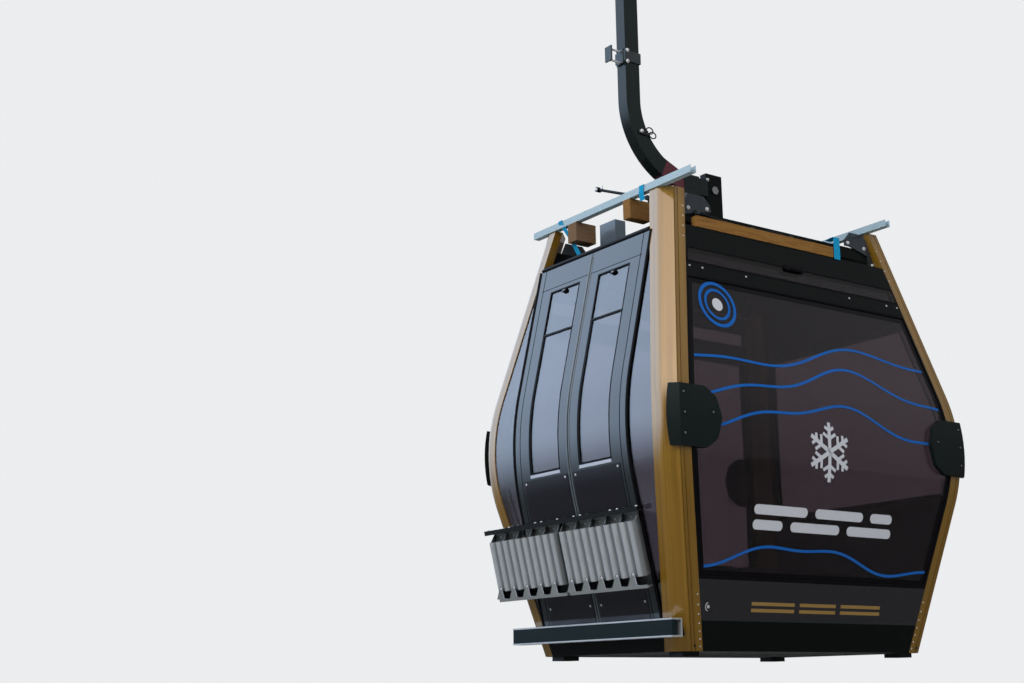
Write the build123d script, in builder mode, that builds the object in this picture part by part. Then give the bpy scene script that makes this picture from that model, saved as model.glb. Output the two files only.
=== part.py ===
from build123d import *
import os
from math import atan, cos, radians, sin, sqrt, tan

os.makedirs("parts", exist_ok=True)

# Cable car cabin on its hanger. The origin is the middle of the rope in the grip's jaws,
# +Y runs along the rope, -X is the door side and +Z is up. All sizes are in millimetres.

# Bent outline of the cabin body, with heights from the underside of the cabin
rope_height = 4900
post_height = 2550
belt_height = 1178
belt_half_width = 1212
wall_slope = 0.23
bend_radius = 1454
end_inset = 318

# Corner posts, with two grooves along the end flank
post_side_flank = 135
post_end_flank = 142
post_chamfer = 62
post_edge_radius = 50
post_depth = 90
groove_insets = (64, 88)
groove_width = 4
groove_depth = 3
foot_pad_size = 110
foot_pad_height = 25

# Walls, doors and glass, with the top bands measured down from the roof's underside
wall = 40
glass = 8
glass_setback = 6
sill_top = 155
roof_drop = 260
roof_thickness = 24
crown_height = 50
crown_inset = 150
side_glass_width = 247
portal_width = 57
door_stile = 82
door_gap = 6
door_low = 165
door_header = 162
door_vent_height = 280
door_window_low = 1012
door_panel_low = 240
door_panel_high = 980
end_panel_top = 363
end_header_height = 109
end_vent_height = 106
end_rail_height = 75
far_panel_top = 900

# Floor
floor_low = 60
floor_high = 110
beam_width = 70
beam_count = 5

# Benches along both end walls and the grab rails under the roof
seat_height = 450
seat_thickness = 60
seat_depth = 380
seat_side_gap = 190
seat_frame_inset = 60
rail_radius = 16
rail_post_radius = 11
rail_drop = 110
rail_offset = 330
rail_half_length = 600

# Bumper shields at the widest point of each post
bumper_thickness = 26
bumper_half_height = 163
bumper_reach = 382
bumper_cheek_reach = 350
bumper_cheek_half_height = 110
bumper_shoulder_reach = 277
bumper_rounding = 25
bumper_wrap = 62

# Guide rail under the doors
guide_low = 68
guide_high = 162
guide_standoff = 33
guide_depth = 70
guide_half_length = 700
guide_wall = 8
guide_bracket_width = 60

# Ski racks on the door leaves
slot_pitch = 131
slot_count = 5
slot_angle = 37
waves_per_slot = 2
wave_rise = 9
rack_gap = 27
rack_offset = 158
rack_depth = 108
rack_low = 340
rack_height = 390
rack_front_low = 60
rack_front_high = 348
rack_sheet = 4
rack_end_radius = 20
comb_lip = 17
tooth_top = 88
tooth_tip_width = 15
tooth_foot_width = 74
tooth_lean = 16
tooth_offset = 35
rack_bar_height = 27
rack_bar_depth = 45
rack_bar_wall = 5
rack_bar_overhang = 40

# Roof frame, yoke and buffers that carry the cabin
frame_height = 70
frame_width = 60
frame_inset = 91
cross_offset = 170
buffer_radius = 35
buffer_height = 60
buffer_offset = 120
yoke_plate = 15
yoke_half_width = 66
yoke_half_depth = 26
yoke_above_arm = 105
gusset_plate = 10
gusset_reach = 200
gusset_knee = 155
gusset_drop = 20
gusset_shoulder = 70
gusset_belly = 150
gusset_foot = 220
gusset_band = 40

# Hanger arm, a box section bent round the rope's sheaves
arm_depth = 108
arm_width = 80
arm_offset = 648
arm_rise = 295
arm_low_radius = 465
arm_high_radius = 400
arm_head_end = 95
sleeve_gap = 74
sleeve_length = 120
sleeve_drop = 165
sleeve_wall = 6
rib_thickness = 16
rib_cover = 60
rib_reach = 210
rib_rise = 180
pivot_drop = 260
hub_radius = 70
hub_length = 150
hub_neck = 98
pin_radius = 35
pin_head = 12
pin_head_radius = 49
yoke_pin_radius = 16
yoke_pin_head_radius = 28
run_clearance = 0.05
seat_clearance = 0.3
side_clearance = 5

# Clamp round the upright of the arm, with a cable holder on its outside
clamp_rise = 735
clamp_band = 70
clamp_wall = 8
holder_reach = 90
holder_rod_radius = 6
holder_rod_spacing = 72
holder_plate = 10
holder_plate_width = 60

# Grip with its fixed and moving jaws, and the rollers that run in a station
rope_radius = 25
jaw_length = 250
grip_left = 90
grip_right = 80
grip_low = 330
grip_toe = 30
grip_waist = 250
grip_ledge = 30
throat_right = 15
throat_left = 8
throat_low = 21.5
crest_height = 45
crest_left = 50
crest_slope = 40
jaw_pivot_x = 48
jaw_pivot_z = -60
jaw_half_width = 60
jaw_slot_height = 200
knuckle_radius = 28
jaw_pin_radius = 12
jaw_back = 26
jaw_tail = 20
jaw_back_height = 30
jaw_crown = 52
jaw_crown_right = 60
jaw_lip = 20
jaw_throat_x = 30
jaw_throat_z = -8
lever_reach = 190
lever_rise = 60
lever_half_width = 20
lever_half_height = 28
lever_heel = 16
running_radius = 50
running_width = 40
running_spacing = 170
running_drop = 170
running_standoff = 15
axle_radius = 12
axle_head_radius = 20
coupling_radius = 40
coupling_width = 30
plate_half_length = 160
plate_width = 130
plate_thickness = 12
plate_overlap = 30

# Door drive on the roof and its lever rod
drive_inset = 261
drive_depth = 80
drive_low_y = 120
drive_high_y = 268
drive_rise = 261
rod_radius = 9
rod_knob_radius = 16
rod_foot_y = -200
rod_bend_y = -150
rod_bend_rise = 323
rod_tip_y = 322
rod_tip_rise = 516

# Steel channels and timbers that the cabin was delivered with
channel_size = 41
channel_wall = 3
channel_front_inset = 12
channel_back_inset = 141
channel_front_y = (-800, 660)
channel_back_y = (-740, 720)
batten_start = -724
batten_end = 370
batten_height = 64
batten_thickness = 45
block_y = ((-280, -218), (227, 309))
block_length = 150
block_height = 116

# Cable along the front of the roof frame, as distances along X and heights over the crown
cable_radius = 7
cable_route = ((-652, 59), (-419, 35), (-243, 30), (-44, 46), (65, 34))
clip_width = 24
clip_half_height = 13
clip_cover = 5
clip_points = (2,)


def level(height):
    """Height above the cabin's underside as a height in the rope's frame."""
    return height - rope_height


reach = 1600


def half_width(height):
    """Half width of the outline at a height, along its straight legs."""
    return belt_half_width - wall_slope * abs(height - belt_height)


foot_half_width = half_width(0)


def outline(plane, inset, stretch=1.0):
    """Solid of the bent outline, drawn in a plane and pushed far out to both sides of it."""
    radius = bend_radius * sin(atan(wall_slope)) / sin(atan(wall_slope * stretch))
    spare = 200
    top = (stretch * half_width(post_height + spare) - inset, level(post_height + spare))
    belt = (stretch * belt_half_width - inset, level(belt_height))
    foot = (stretch * half_width(-spare) - inset, level(-spare))
    with BuildPart() as solid:
        with BuildSketch(plane):
            with BuildLine() as edges:
                FilletPolyline(top, belt, foot, radius=radius)
                mirror(edges.line, about=Plane.YZ)
                Line(top, (-top[0], top[1]))
                Line(foot, (-foot[0], foot[1]))
            make_face()
        extrude(amount=reach, both=True)
    return solid.part


def box_between(x_range, y_range, z_range):
    """Box between two values on each axis, with heights above the cabin's underside."""
    low = (x_range[0], y_range[0], level(z_range[0]))
    high = (x_range[1], y_range[1], level(z_range[1]))
    with BuildPart() as solid:
        with Locations(tuple((a + b) / 2 for a, b in zip(low, high))):
            Box(*(b - a for a, b in zip(low, high)))
    return solid.part


def slab(low, high):
    """Wide flat slab between two heights above the cabin's underside."""
    return box_between((-reach, reach), (-reach, reach), (low, high))


def both_ways(low, high):
    """A range on one axis and its mirror image across the middle of the cabin."""
    return ((low, high), (-high, -low))


def finish(part, name):
    """Label a finished piece and write it as one STEP file."""
    part.label = name
    export_step(part, f"parts/{name}.step")


# Corner posts, a chamfered section that follows the bent outline
diagonals = (
    Plane(origin=(0, 0, 0), x_dir=(1, 1, 0), z_dir=(1, -1, 0)),
    Plane(origin=(0, 0, 0), x_dir=(-1, 1, 0), z_dir=(1, 1, 0)),
)
chamfer_inset = (end_inset + post_chamfer) / sqrt(2)
outer_sides = outline(Plane.XZ, 0)
outer_ends = outline(Plane.YZ, end_inset)
inner_sides = outline(Plane.XZ, wall)
inner_ends = outline(Plane.YZ, end_inset + wall)
post_sides = outline(Plane.XZ, post_end_flank)
post_ends = outline(Plane.YZ, end_inset + post_side_flank)
outer_corners = [outline(plane, chamfer_inset, sqrt(2)) for plane in diagonals]
inner_corners = [outline(plane, chamfer_inset + post_depth, sqrt(2)) for plane in diagonals]
post_inside = inner_corners[0] & inner_corners[1]


def on_rounded_edge(edge):
    """True for the long edges between a post's side flank and its chamfer."""
    middle = edge @ 0.5
    return abs(abs(middle.Y) - abs(middle.X) + end_inset + post_chamfer) < 1


with BuildPart() as shell:
    add(outer_sides & outer_ends)
    add(outer_corners[0], mode=Mode.INTERSECT)
    add(outer_corners[1], mode=Mode.INTERSECT)
    fillet(shell.edges().filter_by(on_rounded_edge), post_edge_radius)
    add(slab(0, post_height), mode=Mode.INTERSECT)
hull = shell.part

with BuildPart() as corner_posts:
    add(hull)
    add(post_sides, mode=Mode.SUBTRACT)
    add(post_ends, mode=Mode.SUBTRACT)
    add(post_inside, mode=Mode.SUBTRACT)
    for inset in groove_insets:
        groove = outline(Plane.XZ, inset) - outline(Plane.XZ, inset + groove_width)
        add(groove - outline(Plane.YZ, end_inset + groove_depth), mode=Mode.SUBTRACT)
finish(corner_posts.part, "corner_posts")
posts = corner_posts.part

pad_x = foot_half_width - foot_pad_size
pad_y = foot_half_width - end_inset - foot_pad_size
with BuildPart() as foot_pads:
    with Locations((0, 0, level(-foot_pad_height / 2))):
        with GridLocations(2 * pad_x, 2 * pad_y, 2, 2):
            Box(foot_pad_size, foot_pad_size, foot_pad_height)
finish(foot_pads.part, "foot_pads")

# Door opening, worked out from the posts inwards
portal_edge = belt_half_width - end_inset - post_side_flank - side_glass_width
door_half_width = portal_edge - portal_width
door_window_width = door_half_width - door_gap / 2 - 2 * door_stile

# Heights of the bands under the roof
roof_underside = post_height - roof_drop
roof_top = roof_underside + roof_thickness
crown_top = roof_top + crown_height
end_vent_top = roof_underside - end_header_height
end_rail_top = end_vent_top - end_vent_height
end_glass_top = end_rail_top - end_rail_height
door_window_high = roof_underside - door_header
door_vent_low = door_window_high - door_vent_height

# Walls between the posts, cut from one skin as thick as the wall
side_bay = (outer_sides - inner_sides) & post_ends
end_bay = (outer_ends - inner_ends) & post_sides
door_half = box_between((-reach, 0), (-reach, reach), (0, post_height))
far_half = box_between((0, reach), (-reach, reach), (0, post_height))

# End walls, from the sill up to the header, alike at both ends
end_bands = {
    "end_sills": (0, sill_top),
    "end_lower_panels": (sill_top, end_panel_top),
    "end_rails": (end_glass_top, end_rail_top),
    "end_vents": (end_rail_top, end_vent_top),
    "end_headers": (end_vent_top, roof_underside),
}
for name, (low, high) in end_bands.items():
    with BuildPart() as band:
        add(end_bay)
        add(slab(low, high), mode=Mode.INTERSECT)
    finish(band.part, name)

end_pane = outline(Plane.YZ, end_inset + glass_setback) - outline(Plane.YZ, end_inset + glass_setback + glass)
with BuildPart() as end_windows:
    add(end_pane)
    add(post_sides, mode=Mode.INTERSECT)
    add(slab(end_panel_top, end_glass_top), mode=Mode.INTERSECT)
finish(end_windows.part, "end_windows")

# Floor with its cross beams, and the sills along the sides
inner_well = inner_sides & inner_ends
with BuildPart() as floor_plate:
    add(inner_well)
    add(slab(floor_low, floor_high), mode=Mode.INTERSECT)
    add(posts, mode=Mode.SUBTRACT)
finish(floor_plate.part, "floor_plate")

beam_spacing = 2 * (foot_half_width - end_inset - wall - beam_width) / (beam_count - 1)
with BuildPart() as floor_beams:
    with Locations((0, 0, level(floor_low / 2))):
        with GridLocations(1, beam_spacing, 1, beam_count):
            Box(2 * reach, beam_width, floor_low)
    add(inner_well, mode=Mode.INTERSECT)
    add(posts, mode=Mode.SUBTRACT)
finish(floor_beams.part, "floor_beams")

with BuildPart() as side_sills:
    add(side_bay)
    add(slab(0, sill_top), mode=Mode.INTERSECT)
finish(side_sills.part, "side_sills")

# Door leaves with their window and lower panel cut through
leaf_ranges = both_ways(door_gap / 2, door_half_width)
leaf_middle = (door_gap / 2 + door_half_width) / 2
window_ranges = both_ways(leaf_middle - door_window_width / 2, leaf_middle + door_window_width / 2)
for name, leaf_range, window_range in zip(("door_leaf_far", "door_leaf_near"), leaf_ranges, window_ranges):
    window = box_between((-reach, 0), window_range, (door_window_low, door_window_high))
    panel = box_between((-reach, 0), window_range, (door_panel_low, door_panel_high))
    with BuildPart() as leaf:
        add(side_bay)
        add(box_between((-reach, 0), leaf_range, (door_low, roof_underside)), mode=Mode.INTERSECT)
        add(window, mode=Mode.SUBTRACT)
        add(panel, mode=Mode.SUBTRACT)
    finish(leaf.part, name)

# Panes, vents and lower panels set into the door leaves
door_pane = outline(Plane.XZ, glass_setback) - outline(Plane.XZ, glass_setback + glass)
door_fill = outline(Plane.XZ, glass_setback) - outline(Plane.XZ, glass_setback + wall / 2)
door_bands = {
    "door_windows": (door_window_low, door_vent_low, door_pane),
    "door_vents": (door_vent_low, door_window_high, door_fill),
    "door_panels": (door_panel_low, door_panel_high, door_fill),
}
for name, (low, high, skin) in door_bands.items():
    with BuildPart() as band:
        for window_range in window_ranges:
            add(box_between((-reach, 0), window_range, (low, high)))
        add(skin, mode=Mode.INTERSECT)
    finish(band.part, name)

# Portal strips beside the door, and the fixed glass from there to the posts
with BuildPart() as door_portal:
    for y_range in both_ways(door_half_width + door_gap, portal_edge):
        add(box_between((-reach, 0), y_range, (sill_top, roof_underside)))
    add(side_bay, mode=Mode.INTERSECT)
finish(door_portal.part, "door_portal")

with BuildPart() as side_windows:
    for y_range in both_ways(portal_edge, reach):
        add(box_between((-reach, 0), y_range, (sill_top, roof_underside)))
    add(door_pane & post_ends, mode=Mode.INTERSECT)
finish(side_windows.part, "side_windows")

# Far side, a fixed wall with one wide window
far_bands = {
    "far_lower_panel": (sill_top, far_panel_top, 0, wall),
    "far_window": (far_panel_top, end_glass_top, glass_setback, glass),
    "far_header": (end_glass_top, roof_underside, 0, wall),
}
for name, (low, high, setback, thickness) in far_bands.items():
    skin = outline(Plane.XZ, setback) - outline(Plane.XZ, setback + thickness)
    with BuildPart() as band:
        add(skin & post_ends & far_half)
        add(slab(low, high), mode=Mode.INTERSECT)
    finish(band.part, name)

# Roof, a slab between the posts with a shallow crown
crown_length = 2 * (half_width(roof_top) - post_end_flank)
crown_depth = 2 * (half_width(roof_top) - end_inset - post_side_flank)
with BuildPart() as roof_panel:
    add(post_sides & outer_ends)
    add(post_ends & outer_sides)
    add(post_inside & hull)
    add(slab(roof_underside, roof_top), mode=Mode.INTERSECT)
    with BuildSketch(Plane.XY.offset(level(roof_top))):
        Rectangle(crown_length, crown_depth)
    with BuildSketch(Plane.XY.offset(level(crown_top))):
        Rectangle(crown_length - 2 * crown_inset, crown_depth - 2 * crown_inset)
    loft()
finish(roof_panel.part, "roof_panel")

# Bumper shields, bent round the outer corner of each post at its widest point
bumper_skin = outline(Plane.YZ, end_inset - bumper_thickness) & outline(Plane.XZ, -bumper_thickness)
for plane in diagonals:
    bumper_skin = bumper_skin & outline(plane, chamfer_inset - bumper_thickness, sqrt(2))
bumper_edge = belt_half_width + bumper_thickness
bumper_half_shape = [
    (bumper_shoulder_reach, bumper_half_height),
    (bumper_cheek_reach, bumper_cheek_half_height),
    (bumper_reach, 0),
]
bumper_y = belt_half_width - end_inset - bumper_wrap
with BuildPart() as bumpers:
    with BuildSketch(Plane.XZ.offset(-bumper_y)):
        with BuildLine():
            upper = [(belt_half_width - inset, level(belt_height + rise)) for inset, rise in bumper_half_shape]
            lower = [(belt_half_width - inset, level(belt_height - rise)) for inset, rise in bumper_half_shape]
            upper_end = (bumper_edge, level(belt_height + bumper_half_height))
            lower_end = (bumper_edge, level(belt_height - bumper_half_height))
            FilletPolyline(upper_end, *upper, *lower[1::-1], lower_end, radius=bumper_rounding)
            Line(lower_end, upper_end)
        make_face()
    extrude(amount=-reach)
    add(bumper_skin, mode=Mode.INTERSECT)
    add(hull, mode=Mode.SUBTRACT)
    mirror(about=Plane.XZ)
    mirror(about=Plane.YZ)
finish(bumpers.part, "bumpers")

# Guide rail under the doors, a channel open to the outside, and its brackets on the sill
guide_back = half_width((guide_low + guide_high) / 2) + guide_standoff
guide_size = (guide_depth, guide_high - guide_low)
guide_centre = (-guide_back - guide_depth / 2, level((guide_low + guide_high) / 2))
with BuildPart() as guide_rail:
    with BuildSketch(Plane.XZ):
        with Locations(guide_centre):
            Rectangle(*guide_size)
        with Locations((guide_centre[0] - guide_wall, guide_centre[1])):
            Rectangle(guide_size[0], guide_size[1] - 2 * guide_wall, mode=Mode.SUBTRACT)
    extrude(amount=guide_half_length, both=True)
finish(guide_rail.part, "guide_rail")

with BuildPart() as guide_brackets:
    with Locations((0, 0, guide_centre[1])):
        with GridLocations(1, guide_half_length - guide_bracket_width, 1, 3):
            Box(2 * guide_back, guide_bracket_width, guide_size[1] - 2 * guide_wall)
    add(door_half, mode=Mode.INTERSECT)
    add(outer_sides, mode=Mode.SUBTRACT)
finish(guide_brackets.part, "guide_brackets")

# Ski racks, drawn in plan on a plane that leans with the lower wall
lean = atan(wall_slope)
slant = radians(slot_angle)
rack_width = slot_pitch * slot_count
rack_origin = (-half_width(rack_low), rack_offset, level(rack_low))
rack_plane = Plane(origin=rack_origin, x_dir=(0, 1, 0), z_dir=(-sin(lean), 0, cos(lean)))
rack_side = Plane(origin=rack_origin, x_dir=rack_plane.y_dir, z_dir=rack_plane.x_dir)
rack_face = Plane(origin=rack_origin, x_dir=rack_plane.x_dir, z_dir=-rack_plane.y_dir)
rack_starts = (rack_gap / 2, -rack_gap / 2 - rack_width)
sheet_outside = rack_depth - wave_rise
sheet_inside = sheet_outside - rack_sheet
sheet_middle = sheet_outside - rack_sheet / 2
wave_step = slot_pitch / waves_per_slot / 2
half_waves = slot_count * waves_per_slot * 2


def slant_shift(depth):
    """How far a slanted divider has moved along the door at a depth from the wall."""
    return -depth * tan(slant)


# What is over the sloping tops of the dividers and the end panels
with BuildPart() as rack_slope:
    with BuildSketch(rack_side):
        with BuildLine():
            slope_edge = (sheet_inside - wave_rise, rack_front_high)
            slope_root = (rack_sheet, rack_height)
            far_edge = (2 * rack_depth, rack_front_high)
            upper_edge = [(2 * rack_depth, 2 * rack_height), (rack_sheet, 2 * rack_height)]
            Polyline(slope_root, slope_edge, far_edge, *upper_edge, close=True)
        make_face()
    extrude(amount=reach, both=True)

# Wavy front sheets, each bent back to the wall at its near end
with BuildPart() as ski_rack_fronts:
    for rack_start in rack_starts:
        start = rack_start + slant_shift(sheet_outside)
        flat_end = start + 2 * wave_step
        with BuildSketch(rack_plane.offset(rack_front_low)):
            with BuildLine():
                for depth in (sheet_outside, sheet_inside):
                    for turn in range(2, half_waves):
                        left = (start + turn * wave_step, depth)
                        right = (start + (turn + 1) * wave_step, depth)
                        SagittaArc(left, right, wave_rise if turn % 2 else -wave_rise)
                for end in (flat_end, start + rack_width):
                    Line((end, sheet_outside), (end, sheet_inside))
            make_face()
            with BuildLine():
                inner_shift = rack_sheet / cos(slant)
                outer_back = (rack_start + slant_shift(rack_sheet), rack_sheet)
                inner_back = (outer_back[0] + inner_shift, rack_sheet)
                inner_corner = (rack_start + slant_shift(sheet_inside) + inner_shift, sheet_inside)
                outer_bend = ((flat_end, sheet_outside), (start, sheet_outside), outer_back)
                inner_bend = ((flat_end, sheet_inside), inner_corner, inner_back)
                FilletPolyline(*outer_bend, radius=rack_end_radius + rack_sheet)
                FilletPolyline(*inner_bend, radius=rack_end_radius)
                Line(outer_back, inner_back)
                Line((flat_end, sheet_outside), (flat_end, sheet_inside))
            make_face()
        extrude(amount=rack_height - rack_front_low)
    add(rack_slope.part, mode=Mode.SUBTRACT)
finish(ski_rack_fronts.part, "ski_rack_fronts")

# Slanted dividers between the slots, from the back sheet to the wavy sheet
with BuildPart() as ski_rack_dividers:
    for rack_start in rack_starts:
        for slot in range(1, slot_count + 1):
            foot = rack_start + slot * (rack_width - inner_shift) / slot_count
            back = foot + slant_shift(rack_sheet)
            front = foot + slant_shift(sheet_middle)
            corners = [(back, rack_sheet), (back + inner_shift, rack_sheet)]
            corners += [(front + inner_shift, sheet_middle), (front, sheet_middle)]
            with BuildSketch(rack_plane.offset(rack_sheet)):
                with BuildLine():
                    Polyline(*corners, close=True)
                make_face()
            extrude(amount=rack_height - rack_sheet)
    add(rack_slope.part, mode=Mode.SUBTRACT)
    add(ski_rack_fronts.part, mode=Mode.SUBTRACT)
finish(ski_rack_dividers.part, "ski_rack_dividers")

# Back sheets and trays, with the toothed lip in front of each tray
comb_depth = rack_depth + seat_clearance
with BuildPart() as ski_rack_frames:
    for rack_start in rack_starts:
        comb_start = rack_start + slant_shift(comb_depth)
        tray_corners = [(rack_start, 0), (rack_start + rack_width, 0)]
        tray_corners += [(comb_start + rack_width, comb_depth), (comb_start, comb_depth)]
        with BuildSketch(rack_plane):
            with BuildLine():
                Polyline(*tray_corners, close=True)
            make_face()
        extrude(amount=rack_sheet)
        with BuildSketch(rack_plane):
            with Locations((rack_start + rack_width / 2, rack_sheet / 2)):
                Rectangle(rack_width, rack_sheet)
        extrude(amount=rack_height)
        with BuildSketch(rack_face.offset(-comb_depth)):
            with Locations((comb_start + rack_width / 2, comb_lip / 2)):
                Rectangle(rack_width, comb_lip)
            for slot in range(slot_count):
                tip = comb_start + rack_width - tooth_offset - slot * slot_pitch
                tooth = [
                    (tip - tooth_tip_width / 2, tooth_top),
                    (tip + tooth_tip_width / 2, tooth_top),
                    (tip - tooth_lean + tooth_foot_width, comb_lip),
                    (tip - tooth_lean, comb_lip),
                ]
                with BuildLine():
                    Polyline(*tooth, close=True)
                make_face()
            with Locations((comb_start - slot_pitch, comb_lip)):
                Rectangle(2 * slot_pitch, 4 * tooth_top, mode=Mode.SUBTRACT)
        extrude(amount=-rack_sheet)
finish(ski_rack_frames.part, "ski_rack_frames")

# Angle bar over both racks, with its flange on top of the back sheets
bar_length = 2 * rack_width + rack_gap + 2 * rack_bar_overhang
with BuildPart() as ski_rack_bar:
    with BuildSketch(rack_plane.offset(rack_height)):
        with Locations((0, rack_bar_depth / 2)):
            Rectangle(bar_length, rack_bar_depth)
    extrude(amount=rack_bar_height)
    with BuildSketch(rack_plane.offset(rack_height + rack_bar_wall)):
        with Locations((0, rack_bar_depth / 2 - rack_bar_wall)):
            Rectangle(bar_length, rack_bar_depth)
    extrude(amount=rack_bar_height, mode=Mode.SUBTRACT)
finish(ski_rack_bar.part, "ski_rack_bar")

# Benches along both end walls
bench_back = half_width(seat_height) - end_inset - wall
bench_front = bench_back - seat_depth
seat_half = half_width(seat_height - seat_thickness) - wall - seat_side_gap
with BuildPart() as bench_frames:
    for y_range in both_ways(bench_front + seat_frame_inset, bench_back - seat_frame_inset):
        x_range = (seat_frame_inset - seat_half, seat_half - seat_frame_inset)
        add(box_between(x_range, y_range, (floor_high, seat_height - seat_thickness)))
    add(inner_ends, mode=Mode.INTERSECT)
    add(posts, mode=Mode.SUBTRACT)
finish(bench_frames.part, "bench_frames")

with BuildPart() as bench_seats:
    for y_range in both_ways(bench_front, bench_back - seat_frame_inset):
        add(box_between((-seat_half, seat_half), y_range, (seat_height - seat_thickness, seat_height)))
    add(inner_ends, mode=Mode.INTERSECT)
    add(posts, mode=Mode.SUBTRACT)
finish(bench_seats.part, "bench_seats")

rail_height = roof_underside - rail_drop
with BuildPart() as grab_rails:
    with Locations((0, 0, level(rail_height))):
        with GridLocations(1, 2 * rail_offset, 1, 2):
            Cylinder(rail_radius, 2 * rail_half_length, rotation=(0, 90, 0))
    with Locations((0, 0, level((rail_height + roof_underside) / 2))):
        with GridLocations(rail_half_length, 2 * rail_offset, 3, 2):
            Cylinder(rail_post_radius, rail_drop)
finish(grab_rails.part, "grab_rails")

# Roof frame from post to post, with gusset plates at the posts
frame_top = crown_top + frame_height
frame_offset = half_width(crown_top) - end_inset - frame_inset
with BuildPart() as roof_frame:
    for y_range in both_ways(frame_offset - frame_width / 2, frame_offset + frame_width / 2):
        add(box_between((-reach, reach), y_range, (crown_top, frame_top)))
    for x_range in both_ways(cross_offset - frame_width / 2, cross_offset + frame_width / 2):
        add(box_between(x_range, (-frame_offset, frame_offset), (crown_top, frame_top)))
    add(post_inside, mode=Mode.INTERSECT)
finish(roof_frame.part, "roof_frame")

gusset_root = half_width(post_height) - post_end_flank
gusset_shape = [
    (gusset_root - gusset_reach, post_height - gusset_shoulder),
    (gusset_root - gusset_knee, post_height - gusset_drop),
    (reach, post_height - gusset_drop),
    (reach, post_height - gusset_foot),
    (gusset_root, post_height - gusset_foot),
    (gusset_root, post_height - gusset_belly),
    (gusset_root - gusset_knee, post_height - gusset_shoulder - gusset_band),
    (gusset_root - gusset_reach, post_height - gusset_shoulder - gusset_band),
]
gusset_y = frame_offset + frame_width / 2
with BuildPart() as roof_gussets:
    with BuildSketch(Plane.XZ):
        with BuildLine():
            Polyline(*((x, level(height)) for x, height in gusset_shape), close=True)
        make_face()
        mirror(about=Plane.YZ)
    extrude(amount=reach, both=True)
    sides = both_ways(gusset_y, gusset_y + gusset_plate)
    plates = [box_between((-reach, reach), y_range, (roof_top, post_height)) for y_range in sides]
    add(plates, mode=Mode.INTERSECT)
    add(post_inside, mode=Mode.INTERSECT)
finish(roof_gussets.part, "roof_gussets")

# Yoke on rubber buffers over the middle of the roof, an upright that holds the foot of the hanger
buffer_top = frame_top + buffer_height
with BuildPart() as yoke_buffers:
    with Locations((0, 0, level(frame_top + buffer_height / 2))):
        with GridLocations(2 * cross_offset, 2 * buffer_offset, 2, 2):
            Cylinder(buffer_radius, buffer_height)
finish(yoke_buffers.part, "yoke_buffers")

plate_x = cross_offset + buffer_radius + yoke_plate
plate_y = buffer_offset + buffer_radius + yoke_plate
yoke_bottom = buffer_top + yoke_plate
arm_foot_height = post_height + arm_rise
yoke_top = arm_foot_height + yoke_above_arm
arm_z = level(arm_foot_height)
with BuildPart() as roof_yoke:
    add(box_between((-plate_x, plate_x), (-plate_y, plate_y), (buffer_top, yoke_bottom)))
    yoke_x = (-yoke_half_width, yoke_half_width)
    yoke_y = (-yoke_half_depth, yoke_half_depth)
    add(box_between(yoke_x, yoke_y, (yoke_bottom, yoke_top)))
    with Locations((0, 0, arm_z)):
        Cylinder(yoke_pin_radius + seat_clearance, 4 * yoke_half_depth, rotation=(90, 0, 0), mode=Mode.SUBTRACT)
finish(roof_yoke.part, "roof_yoke")

with BuildPart() as yoke_pin:
    with Locations((0, 0, arm_z)):
        Cylinder(yoke_pin_radius, 2 * yoke_half_depth, rotation=(90, 0, 0))
    for side in (-1, 1):
        with BuildSketch(Plane.XZ.offset(side * yoke_half_depth)):
            with Locations((0, arm_z)):
                RegularPolygon(yoke_pin_head_radius, 6)
        extrude(amount=side * pin_head)
finish(yoke_pin.part, "yoke_pin")

# Hanger arm, bent at the foot to the middle of the roof and at the head to the grip
head_z = -(pivot_drop + hub_radius + arm_depth / 2)
arm_radii = (arm_low_radius, arm_high_radius)


def arm_edge(shift):
    """One long edge of the arm in side view, a shift outside or inside its middle line."""
    side = -arm_offset - shift
    points = [(-yoke_half_width, arm_z - shift), (side, arm_z - shift), (side, head_z + shift)]
    points.append((-arm_head_end, head_z + shift))
    return points, [radius + shift for radius in arm_radii]


sleeve_start = yoke_half_width + sleeve_gap
sleeve_x = (-sleeve_start - sleeve_length, -sleeve_start)
sleeve_half_depth = arm_width / 2 + sleeve_wall
sleeve_top = arm_foot_height + arm_depth / 2 + sleeve_wall
with BuildPart() as hanger_arm:
    with BuildSketch(Plane.XZ):
        with BuildLine():
            outer_points, outer_radii = arm_edge(arm_depth / 2)
            inner_points, inner_radii = arm_edge(-arm_depth / 2)
            FilletPolyline(*outer_points, radius=outer_radii)
            FilletPolyline(*inner_points, radius=inner_radii)
            Line(outer_points[0], inner_points[0])
            Line(outer_points[-1], inner_points[-1])
        make_face()
    extrude(amount=arm_width / 2, both=True)
    sleeve_y = (-sleeve_half_depth, sleeve_half_depth)
    add(box_between(sleeve_x, sleeve_y, (arm_foot_height - sleeve_drop, sleeve_top)))
finish(hanger_arm.part, "hanger_arm")

# Rib in the inside of the arm's lower bend, from the top of its sleeve
sleeve_end = sleeve_x[0]
rib_points = [
    (sleeve_end + rib_cover, level(sleeve_top)),
    (sleeve_end - rib_reach, arm_z + rib_rise),
    (sleeve_end - rib_reach, arm_z),
    (sleeve_end, arm_z),
    (sleeve_end, level(sleeve_top)),
]
with BuildPart() as hanger_gusset:
    with BuildSketch(Plane.XZ):
        with BuildLine():
            Polyline(*rib_points, close=True)
        make_face()
        with Locations((arm_low_radius - arm_offset, arm_z + arm_low_radius)):
            Circle(arm_low_radius - arm_depth / 2 - seat_clearance, mode=Mode.INTERSECT)
    extrude(amount=rib_thickness / 2, both=True)
finish(hanger_gusset.part, "hanger_gusset")

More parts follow.
